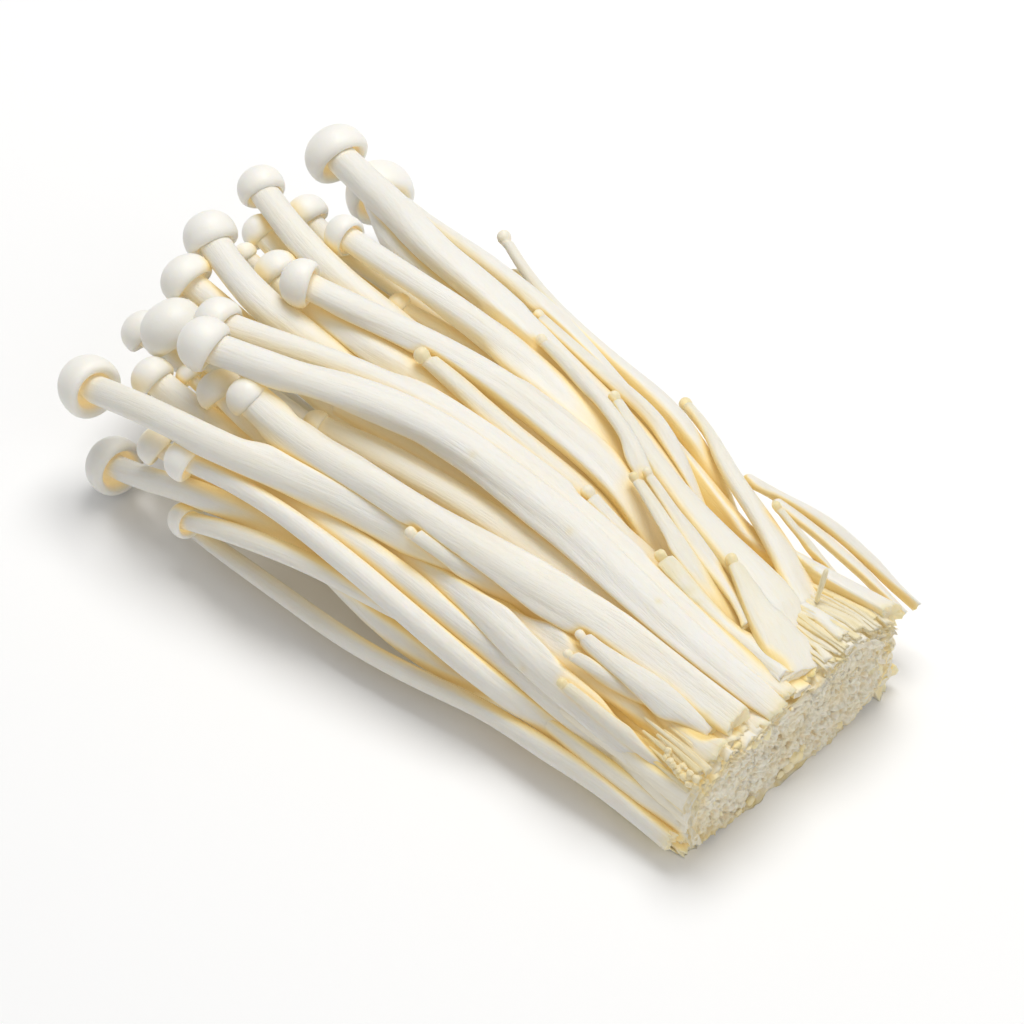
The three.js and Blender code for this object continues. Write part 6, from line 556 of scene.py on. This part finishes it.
for k_ in range(46):
    a_ = rng.uniform(0.10, 1.10) * PI; xa = rng.uniform(55.5, 58.0); xb = rng.uniform(60.9, 62.1); la = rng.uniform(-0.2, 0.7)
    add_strand("near_side" if a_ > 0.88 * PI else "top", surf_path(a_, xa, xb, rng.uniform(-1, 1), lambda t, la=la: la + 0.5 * t * t, n=5), 0.30, rng.uniform(0.35, 0.75), rng.uniform(0.3, 0.7), 960 + k_, rng.uniform(0.3, 1.3), ragged=0.8)

def merge(items):
    V, F, keys = [], [], {}
    o = 0
    for it in items:
        V.append(it["V"]); F += [tuple(i + o for i in f) for f in it["F"]]; o += len(it["V"])
        for k in ("fib", "cap", "inside", "tone", "foot", "yellow"): keys.setdefault(k, []).append(it[k])
    return dict(V=np.vstack(V), F=F, **{k: np.concatenate(v) for k, v in keys.items()})

for g, items in strand_groups.items():
    m = merge(items); pieces.append(dict(name="base_strands_" + g, node=None, slot="base", me=-1, **m))

# crumbs of dried mycelium and the lump on the lower edge of the cut
def crumb(c, r, seed, sq=(1, 1, 1)):
    nu, nv = 14, 10
    V = []; 
    for i in range(1, nv):
        f = PI * i / nv
        for j in range(nu):
            t = 2 * PI * j / nu; V.append([math.sin(f) * math.cos(t), math.sin(f) * math.sin(t), math.cos(f)])
    V = np.array([[0, 0, 1.0]] + V + [[0, 0, -1.0]])
    d = 1 + 0.28 * vnoise(V * 1.6 + seed * 5.1, 61) + 0.16 * vnoise(V * 3.7 + seed * 2.3, 62)
    V = V * d[:, None] * r * np.array(sq) + np.array(c)
    F = [(0, 1 + j, 1 + (j + 1) % nu) for j in range(nu)]
    for i in range(nv - 2):
        o = 1 + i * nu
        for j in range(nu): F.append((o + j, o + nu + j, o + nu + (j + 1) % nu, o + (j + 1) % nu))
    o = 1 + (nv - 2) * nu; e = 1 + (nv - 1) * nu
    for j in range(nu): F.append((o + j, e, o + (j + 1) % nu))
    n = len(V)
    return dict(V=V + np.array([SX, SY, 0]), F=F, fib=V * 1.0, cap=np.zeros(n), inside=np.full(n, 0.2), tone=np.full(n, rng.uniform(-1, 1)), foot=np.ones(n), yellow=np.full(n, rng.uniform(0.7, 1.3)))
cr = []
for i in range(34):
    u = rng.uniform(0, 1); c = (54.5 + 5.5 * u + rng.normal(0, 0.5), -21.9 + rng.normal(0, 0.45), 18.0 + rng.normal(0, 0.45) - 0.4 * u)
    cr.append(crumb(c, rng.uniform(0.28, 0.62), i + 1))
for i, (y, z, r) in enumerate([(0.6, 3.9, 1.5), (-0.9, 2.9, 1.2), (1.9, 4.8, 0.9), (-2.6, 2.3, 0.8), (-9.5, 2.1, 0.9), (-12.0, 1.6, 0.7), (11.0, 2.4, 0.8), (6.2, 1.8, 0.6), (17.0, 4.5, 0.7)]):
    cr.append(crumb((61.3, y, z), r, 60 + i, sq=(0.55, 1, 0.85)))
for i in range(26):
    a = rng.uniform(0.05 * PI, 0.95 * PI); y, z = base_section(np.array([a]), 60.8)
    cr.append(crumb((60.6 + rng.normal(0, 0.5), float(y[0]) * 0.99, float(z[0]) - 0.3 + rng.normal(0, 0.3)), rng.uniform(0.14, 0.30), 100 + i))
m = merge(cr); pieces.append(dict(name="base_crumbs", node=None, slot="base", me=-1, **m))

# ------------------------------------------------------------------ occlusion estimate
allC = np.vstack([c for c, r in CHAINS]); allR = np.concatenate([r for c, r in CHAINS]); allI = np.concatenate([np.full(len(r), i) for i, (c, r) in enumerate(CHAINS)])
dsl = 1.7
def normals_of(V, F):
    N = np.zeros_like(V)
    quad = [f for f in F if len(f) == 4]; tri = [f for f in F if len(f) == 3]
    if quad:
        q = np.array(quad); n = np.cross(V[q[:, 2]] - V[q[:, 0]], V[q[:, 3]] - V[q[:, 1]])
        for i in range(4): np.add.at(N, q[:, i], n)
    if tri:
        q = np.array(tri); n = np.cross(V[q[:, 1]] - V[q[:, 0]], V[q[:, 2]] - V[q[:, 0]])
        for i in range(3): np.add.at(N, q[:, i], n)
    return unit(N)
# old bud scars and nicks: small tan dimples on whatever lies outermost along each line
def scar_all():
    eye = np.array([217.8030 + SX, -214.0344 + SY, 345.2494])
    for dx, dy, dz, r, amp in [(-0.43306, 0.50355, -0.74759, 1.1, 0.9), (-0.42845, 0.50350, -0.75028, 0.9, 0.9), (-0.42203, 0.50364, -0.75382, 0.75, 1.1), (-0.39543, 0.53793, -0.74449, 0.7, 0.9), (-0.40143, 0.53792, -0.74128, 0.6, 0.8), (-0.39334, 0.48369, -0.78187, 0.6, 0.6), (-0.50397, 0.47323, -0.72255, 0.7, 0.6), (-0.46423, 0.48524, -0.74097, 0.6, 0.5), (-0.48839, 0.45041, -0.74740, 0.6, 0.45), (-0.45037, 0.44557, -0.77372, 0.6, 0.45), (-0.43441, 0.44238, -0.78459, 0.6, 0.5), (-0.39907, 0.45042, -0.79867, 0.7, 0.6), (-0.42787, 0.49443, -0.75662, 0.5, 0.6), (-0.41713, 0.50379, -0.75643, 0.6, 0.7)]:
        dd = np.array([dx, dy, dz]); dd /= np.linalg.norm(dd); best = None
        for p in pieces:
            if p["node"] is None: continue
            w = p["V"] - eye; tt = w @ dd; q = np.linalg.norm(w - tt[:, None] * dd, axis=1); m = q < 0.8
            if m.any() and (best is None or tt[m].min() < best[0]):
                i = np.flatnonzero(m)[np.argmin(tt[m])]; best = (tt[m].min(), p, p["V"][i].copy())
        if best is None: continue
        _, p, c = best; dist = np.linalg.norm(p["V"] - c, axis=1); g = np.exp(-(dist / r) ** 2)
        N = normals_of(p["V"], p["F"])
        p["V"] = p["V"] + N * (-0.20 * amp * g + 0.07 * amp * np.exp(-((dist - 1.5 * r) / (0.5 * r)) ** 2))[:, None]
        p["yellow"] = np.clip(p["yellow"] + 1.1 * amp * np.exp(-(dist / (1.15 * r)) ** 2), 0, 1.4)
scar_all()
farC, farR, farI = allC[::3], allR[::3], allI[::3]
def from_above(P, me):
    """How much of the light from above the neighbours a little way off take away."""
    m = farI != me; c, r = farC[m], farR[m]; out = np.zeros(len(P))
    for s0 in range(0, len(P), 400):
        d = c[None] - P[s0:s0 + 400, None]; dd = (d ** 2).sum(2) + 1e-6; dist = np.sqrt(dd)
        w = 2 * r[None] * dsl * 3 * np.clip(d[..., 2] / dist, 0, 1) / (PI * np.maximum(dd, 9.0))
        out[s0:s0 + 400] = np.where((dist > 5) & (dist < 24), w, 0).sum(1)
    return out
def occlusion(V, N, me, seg=0):
    out = np.zeros(len(V))
    if seg:
        rows_ = V[1:-1].reshape(-1, seg, 3).mean(1); far = smooth1(from_above(rows_, me)[:, None], 3)[:, 0]
        fv = np.concatenate([[far[0]], np.repeat(far, seg), [far[-1]]])
        out += 1.25 * np.clip(fv - 0.10, 0, 1) * (0.75 - 0.25 * N[:, 2])
    # in chunks along X so that only near samples are looked at
    order = np.argsort(V[:, 0]); B = 1500
    for s0 in range(0, len(V), B):
        idx = order[s0:s0 + B]; v = V[idx]; nn = N[idx]
        lo, hi = v.min(0) - 12, v.max(0) + 12
        m = ((allC > lo) & (allC < hi)).all(1) & (allI != me)
        if not m.any(): continue
        c, r = allC[m], allR[m]
        d = c[None] - v[:, None]; dd = (d ** 2).sum(2); dist = np.sqrt(dd) + 1e-6
        cosn = np.clip((d * nn[:, None]).sum(2) / dist, 0, 1)
        w = 2 * r[None] * dsl * cosn / (PI * np.maximum(dd, (r[None] * 0.9) ** 2))
        w = np.where(dist < 12, w * (1 - (dist / 12) ** 2), 0)
        out[idx] = w.sum(1)
    return 1 - np.exp(-out * 1.55)

# ------------------------------------------------------------------ materials
def mat_new(name):
    m = bpy.data.materials.new(name); m.use_nodes = True; nt = m.node_tree
    for n in list(nt.nodes): nt.nodes.remove(n)
    out = nt.nodes.new("ShaderNodeOutputMaterial"); b = nt.nodes.new("ShaderNodeBsdfPrincipled"); nt.links.new(b.outputs[0], out.inputs[0])
    return m, nt, b
def N_(nt, t, **kw):
    n = nt.nodes.new(t)
    for k, v in kw.items(): setattr(n, k, v)
    return n
def attr(nt, name):
    return N_(nt, "ShaderNodeAttribute", attribute_name=name)
def mixc(nt, fac, a, b, blend="MIX"):
    m = N_(nt, "ShaderNodeMix", data_type="RGBA", blend_type=blend, clamp_factor=True)
    if isinstance(fac, (int, float)): m.inputs[0].default_value = fac
    else: nt.links.new(fac, m.inputs[0])
    for i, c in ((6, a), (7, b)):
        if isinstance(c, (tuple, list)): m.inputs[i].default_value = (*c, 1)
        else: nt.links.new(c, m.inputs[i])
    return m.outputs[2]
def ramp(nt, src, pts):
    r = N_(nt, "ShaderNodeMapRange"); r.inputs[1].default_value = pts[0]; r.inputs[2].default_value = pts[1]; r.inputs[3].default_value = pts[2]; r.inputs[4].default_value = pts[3]
    nt.links.new(src, r.inputs[0]); return r.outputs[0]
def math_(nt, op, a, b=None, c=None, clamp=False):
    m = N_(nt, "ShaderNodeMath", operation=op, use_clamp=clamp)
    for i, v in enumerate((a, b, c)):
        if v is None: continue
        if isinstance(v, (int, float)): m.inputs[i].default_value = v
        else: nt.links.new(v, m.inputs[i])
    return m.outputs[0]
def noise(nt, vec, scale, detail=2.0, rough=0.5, dist=0.0):
    n = N_(nt, "ShaderNodeTexNoise"); n.inputs["Scale"].default_value = scale; n.inputs["Detail"].default_value = detail; n.inputs["Roughness"].default_value = rough; n.inputs["Distortion"].default_value = dist
    nt.links.new(vec, n.inputs["Vector"]); return n.outputs["Fac"]
def scaled(nt, vec, s):
    m = N_(nt, "ShaderNodeVectorMath", operation="MULTIPLY"); nt.links.new(vec, m.inputs[0]); m.inputs[1].default_value = s; return m.outputs[0]

# the gold colour is painted shade for the gaps between stems
WHITE = (0.852, 0.835, 0.784); CREAM = (0.842, 0.790, 0.650); SHADE_GOLD = (0.78, 0.585, 0.225); STRAW = (0.83, 0.70, 0.36)

def flesh_material(name, slender=False, base=False):
    m, nt, b = mat_new(name)
    fib = attr(nt, "fib").outputs["Vector"]; occ = attr(nt, "occ").outputs["Fac"]; cap = attr(nt, "cap").outputs["Fac"]; recess_shade_and_end_tint = attr(nt, "inside").outputs["Fac"]
    foot = attr(nt, "foot").outputs["Fac"]; tone = attr(nt, "tone").outputs["Fac"]; yel = attr(nt, "yellow").outputs["Fac"]
    stemmask = math_(nt, "SUBTRACT", 1.0, cap, clamp=True)
    # long silky fibres: fine across the stem, stretched along it
    f1 = noise(nt, scaled(nt, fib, (3.2, 3.2, 0.10)), 1.6, 5.0, 0.62)
    f2 = noise(nt, scaled(nt, fib, (9.0, 9.0, 0.16)), 2.0, 4.0, 0.6)
    blot = noise(nt, scaled(nt, fib, (0.8, 0.8, 0.09)), 1.0, 3.0, 0.55)
    geo = N_(nt, "ShaderNodeNewGeometry").outputs["Position"]
    grain = noise(nt, geo, 2600.0, 3.0, 0.6)
    soft = noise(nt, geo, 260.0, 3.0, 0.55)
    # colour: ivory, creamier in patches, toward the foot and in the fibres
    c_mix = math_(nt, "MULTIPLY_ADD", ramp(nt, blot, (0.35, 0.72, 0.0, 1.0)), 0.34, math_(nt, "MULTIPLY", tone, 0.09))
    c_mix = math_(nt, "ADD", c_mix, math_(nt, "MULTIPLY", ramp(nt, f1, (0.42, 0.78, 0.0, 1.0)), math_(nt, "MULTIPLY", stemmask, 0.34)), clamp=True)
    col = mixc(nt, c_mix, WHITE, CREAM)
    line = math_(nt, "MULTIPLY", ramp(nt, f2, (0.56, 0.80, 0.0, 1.0)), math_(nt, "MULTIPLY_ADD", foot, 0.45, 0.12))
    line = math_(nt, "MULTIPLY", line, stemmask)
    col = mixc(nt, line, col, STRAW)
    if True:
        ymix = math_(nt, "MULTIPLY", yel, ramp(nt, blot, (0.2, 0.8, 0.25, 0.85)), clamp=True)
        col = mixc(nt, ymix, col, (0.87, 0.79, 0.53) if slender else (0.88, 0.72, 0.30))
    if slender: col = mixc(nt, math_(nt, "MULTIPLY", cap, math_(nt, "MULTIPLY_ADD", yel, 0.75, 0.10)), col, (0.81, 0.69, 0.38))
    # caps are a shade lighter and cleaner than the stems
    if not slender and not base: col = mixc(nt, math_(nt, "MULTIPLY", cap, 0.6), col, (0.885, 0.872, 0.822))
    # painted shade: the gills' recess and the neck under the cap are tinted golden (cut ends and crumbs take a light
    # share of the same tint)
    col = mixc(nt, math_(nt, "MULTIPLY", recess_shade_and_end_tint, 0.85), col, (0.92, 0.73, 0.38))
    # painted shade: where the occlusion estimate is high, the gaps between stems are tinted golden
    gap_shade = ramp(nt, occ, (0.12, 0.56, 0.0, 1.0)); deep_gap_shade = ramp(nt, occ, (0.38, 0.82, 0.0, 1.0))
    col = mixc(nt, math_(nt, "MULTIPLY", gap_shade, 0.88), col, (0.875, 0.735, 0.415))
    col = mixc(nt, math_(nt, "MULTIPLY", deep_gap_shade, 0.92), col, SHADE_GOLD)
    # painted glow: emission in the shaded gaps and under the caps, plus a faint glow on the base strands, stands in for
    # light that has soaked through the neighbouring flesh
    nt.links.new(mixc(nt, deep_gap_shade, (0.93, 0.81, 0.50), (0.86, 0.67, 0.26)), b.inputs["Emission Color"])
    nt.links.new(math_(nt, "ADD", math_(nt, "ADD", math_(nt, "MULTIPLY", gap_shade, 0.12), math_(nt, "MULTIPLY", recess_shade_and_end_tint, 0.0 if base else 0.20)), 0.07 if base else 0.0), b.inputs["Emission Strength"])
    nt.links.new(col, b.inputs["Base Color"])
    # satin: caps smoother and pearlier than the fibrous stems
    ro = math_(nt, "ADD", math_(nt, "MULTIPLY", f1, 0.18), math_(nt, "MULTIPLY", grain, 0.10))
    ro = math_(nt, "ADD", ro, math_(nt, "MULTIPLY", cap, -0.04)); ro = math_(nt, "ADD", ro, 0.36, clamp=True)
    nt.links.new(ro, b.inputs["Roughness"])
    b.inputs["Specular IOR Level"].default_value = 0.42
    b.inputs["Subsurface Weight"].default_value = 0.0 if base else 0.6
    b.inputs["Subsurface Radius"].default_value = (1.0, 0.86, 0.64)
    b.inputs["Subsurface Scale"].default_value = 0.0004 if base else (0.0006 if slender else 0.0010)
    b.inputs["Sheen Weight"].default_value = 0.12
    b.inputs["Sheen Roughness"].default_value = 0.45
    # relief
    h = math_(nt, "MULTIPLY", math_(nt, "MULTIPLY_ADD", f2, 0.5, f1), stemmask)
    h = math_(nt, "ADD", h, math_(nt, "MULTIPLY", grain, 0.22)); h = math_(nt, "ADD", h, math_(nt, "MULTIPLY", soft, 0.35))
    bp = N_(nt, "ShaderNodeBump"); bp.inputs["Strength"].default_value = 0.75; bp.inputs["Distance"].default_value = 0.00022
    nt.links.new(h, bp.inputs["Height"]); nt.links.new(bp.outputs[0], b.inputs["Normal"])
    return m

def base_material():
    m, nt, b = mat_new("cut_mycelium")
    pit = attr(nt, "pit").outputs["Fac"]; face = attr(nt, "face").outputs["Fac"]; edge = attr(nt, "edge").outputs["Fac"]; occ = attr(nt, "occ").outputs["Fac"]; fib = attr(nt, "fib").outputs["Vector"]
    geo = N_(nt, "ShaderNodeNewGeometry").outputs["Position"]
    big = noise(nt, geo, 190.0, 3.0, 0.55); mid = noise(nt, geo, 620.0, 4.0, 0.6); fine = noise(nt, geo, 2300.0, 4.0, 0.65)
    f1 = noise(nt, scaled(nt, fib, (9.0, 9.0, 0.10)), 2.0, 5.0, 0.62)
    vor = N_(nt, "ShaderNodeTexVoronoi", feature="F1"); vor.inputs["Scale"].default_value = 900.0; nt.links.new(geo, vor.inputs["Vector"])
    # the cut: white lumps in cream, straw in the pits and at the rim
    cface = mixc(nt, ramp(nt, big, (0.30, 0.58, 0.0, 1.0)), (0.86, 0.765, 0.55), (0.89, 0.84, 0.70))
    cface = mixc(nt, ramp(nt, mid, (0.52, 0.74, 0.0, 0.50)), cface, (0.85, 0.72, 0.44))
    cface = mixc(nt, math_(nt, "MULTIPLY", pit, 0.75, clamp=True), cface, (0.82, 0.65, 0.36))
    cface = mixc(nt, math_(nt, "MULTIPLY", edge, ramp(nt, mid, (0.35, 0.65, 0.2, 0.95))), cface, (0.84, 0.65, 0.28))
    cside = mixc(nt, ramp(nt, f1, (0.38, 0.70, 0.0, 0.9)), (0.89, 0.85, 0.73), (0.86, 0.70, 0.33))
    # painted shade: the occlusion estimate turns the base's sides gold between the strands
    cside = mixc(nt, math_(nt, "POWER", ramp(nt, occ, (0.45, 0.98, 0.0, 1.0)), 1.2), cside, SHADE_GOLD)
    col = mixc(nt, face, cside, cface)
    nt.links.new(col, b.inputs["Base Color"])
    ro = math_(nt, "ADD", math_(nt, "MULTIPLY", fine, 0.22), 0.62, clamp=True); nt.links.new(ro, b.inputs["Roughness"])
    b.inputs["Specular IOR Level"].default_value = 0.35
    b.inputs["Subsurface Weight"].default_value = 0.25; b.inputs["Subsurface Radius"].default_value = (1.0, 0.8, 0.55); b.inputs["Subsurface Scale"].default_value = 0.0006
    h = math_(nt, "ADD", math_(nt, "MULTIPLY", mid, 0.8), math_(nt, "MULTIPLY", fine, 0.5))
    h = math_(nt, "ADD", h, math_(nt, "MULTIPLY", vor.outputs["Distance"], -0.6))
    bp = N_(nt, "ShaderNodeBump"); bp.inputs["Strength"].default_value = 0.6; bp.inputs["Distance"].default_value = 0.0005
    nt.links.new(h, bp.inputs["Height"]); nt.links.new(bp.outputs[0], b.inputs["Normal"])
    return m

MAT = {"mushroom": flesh_material("mushroom_flesh"), "slender": flesh_material("slender_flesh", slender=True), "base": flesh_material("base_strand_flesh", base=True)}
MBASE = base_material()

# ------------------------------------------------------------------ into the scene
for p in pieces:
    V = p["V"].copy(); V[:, 2] = np.maximum(V[:, 2], 0.03)
    occ = occlusion(V, normals_of(V, p["F"]), p["me"], p.get("seg", 0))
    ob = make_mesh(p["name"], V, p["F"], {"fib": ("FLOAT_VECTOR", p["fib"]), "occ": ("FLOAT", occ), "cap": ("FLOAT", p["cap"]), "inside": ("FLOAT", p["inside"]),
        "foot": ("FLOAT", p["foot"]), "tone": ("FLOAT", p["tone"]), "yellow": ("FLOAT", p["yellow"])})
    ob.data.materials.append(MAT[p["slot"]])
    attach(ob, "root")
    if p["node"]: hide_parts(p["node"])

bocc = occlusion(bV, normals_of(bV, bF), -1)
ob = make_mesh("base_flesh", bV, bF, {"fib": ("FLOAT_VECTOR", bfib), "occ": ("FLOAT", bocc), "pit": ("FLOAT", bpit), "face": ("FLOAT", bface), "edge": ("FLOAT", bedge)})
ob.data.materials.append(MBASE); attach(ob, "root"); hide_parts("base_block")

# ------------------------------------------------------------------ floor, light, camera
def floor_object():
    me = bpy.data.meshes.new("floor"); n = 24; s = 3.0
    V = [(s * (i / n - 0.5), s * (j / n - 0.5), 0.0) for i in range(n + 1) for j in range(n + 1)]
    F = [(i * (n + 1) + j, (i + 1) * (n + 1) + j, (i + 1) * (n + 1) + j + 1, i * (n + 1) + j + 1) for i in range(n) for j in range(n)]
    me.from_pydata(V, [], F); me.update()
    o = bpy.data.objects.new("floor", me); bpy.context.scene.collection.objects.link(o)
    m, nt, b = mat_new("paper_white"); geo = N_(nt, "ShaderNodeNewGeometry").outputs["Position"]
    nz = noise(nt, geo, 3.0, 2.0, 0.5); nt.links.new(mixc(nt, nz, (0.94, 0.94, 0.94), (0.96, 0.96, 0.96)), b.inputs["Base Color"])
    b.inputs["Roughness"].default_value = 0.9; b.inputs["Specular IOR Level"].default_value = 0.1
    o.data.materials.append(m); return o
floor_object()

sc = bpy.context.scene
w = bpy.data.worlds.new("studio"); sc.world = w; w.use_nodes = True
bg = w.node_tree.nodes["Background"]; bg.inputs[0].default_value = (1.0, 1.0, 1.0, 1); bg.inputs[1].default_value = 0.41

def area(name, loc, target, size, energy, color=(1, 1, 1)):
    l = bpy.data.lights.new(name, "AREA"); l.shape = "DISK"; l.size = size; l.energy = energy; l.color = color
    o = bpy.data.objects.new(name, l); sc.collection.objects.link(o); o.location = loc
    o.rotation_euler = (Vector(target) - Vector(loc)).to_track_quat("-Z", "Y").to_euler(); return o
area("key", (-0.12, 0.20, 0.74), (0, 0, 0.01), 0.46, 4.0, (1.0, 0.993, 0.98))
area("fill", (0.55, -0.05, 0.34), (0, 0, 0.01), 0.6, 0.70, (1.0, 1.0, 1.0))

cam = bpy.data.cameras.new("camera"); co = bpy.data.objects.new("camera", cam); sc.collection.objects.link(co)
AZ, EL, DIST, FPX = math.radians(45.5), math.radians(47.5), 0.452, 2800.0
back = Vector((math.sin(AZ) * math.cos(EL), -math.cos(AZ) * math.cos(EL), math.sin(EL)))
tgt = Vector((SX * MM, SY * MM, 0.012)); co.location = tgt + back * DIST
co.rotation_euler = (-back).to_track_quat("-Z", "Y").to_euler()
cam.sensor_width = 36.0; cam.sensor_fit = "HORIZONTAL"; cam.lens = FPX / 1024 * 36.0; cam.clip_start = 0.01; cam.clip_end = 20
sc.camera = co
sc.view_settings.view_transform = "Standard"; sc.view_settings.look = "None"; sc.view_settings.exposure = 0.0; sc.view_settings.gamma = 1.0
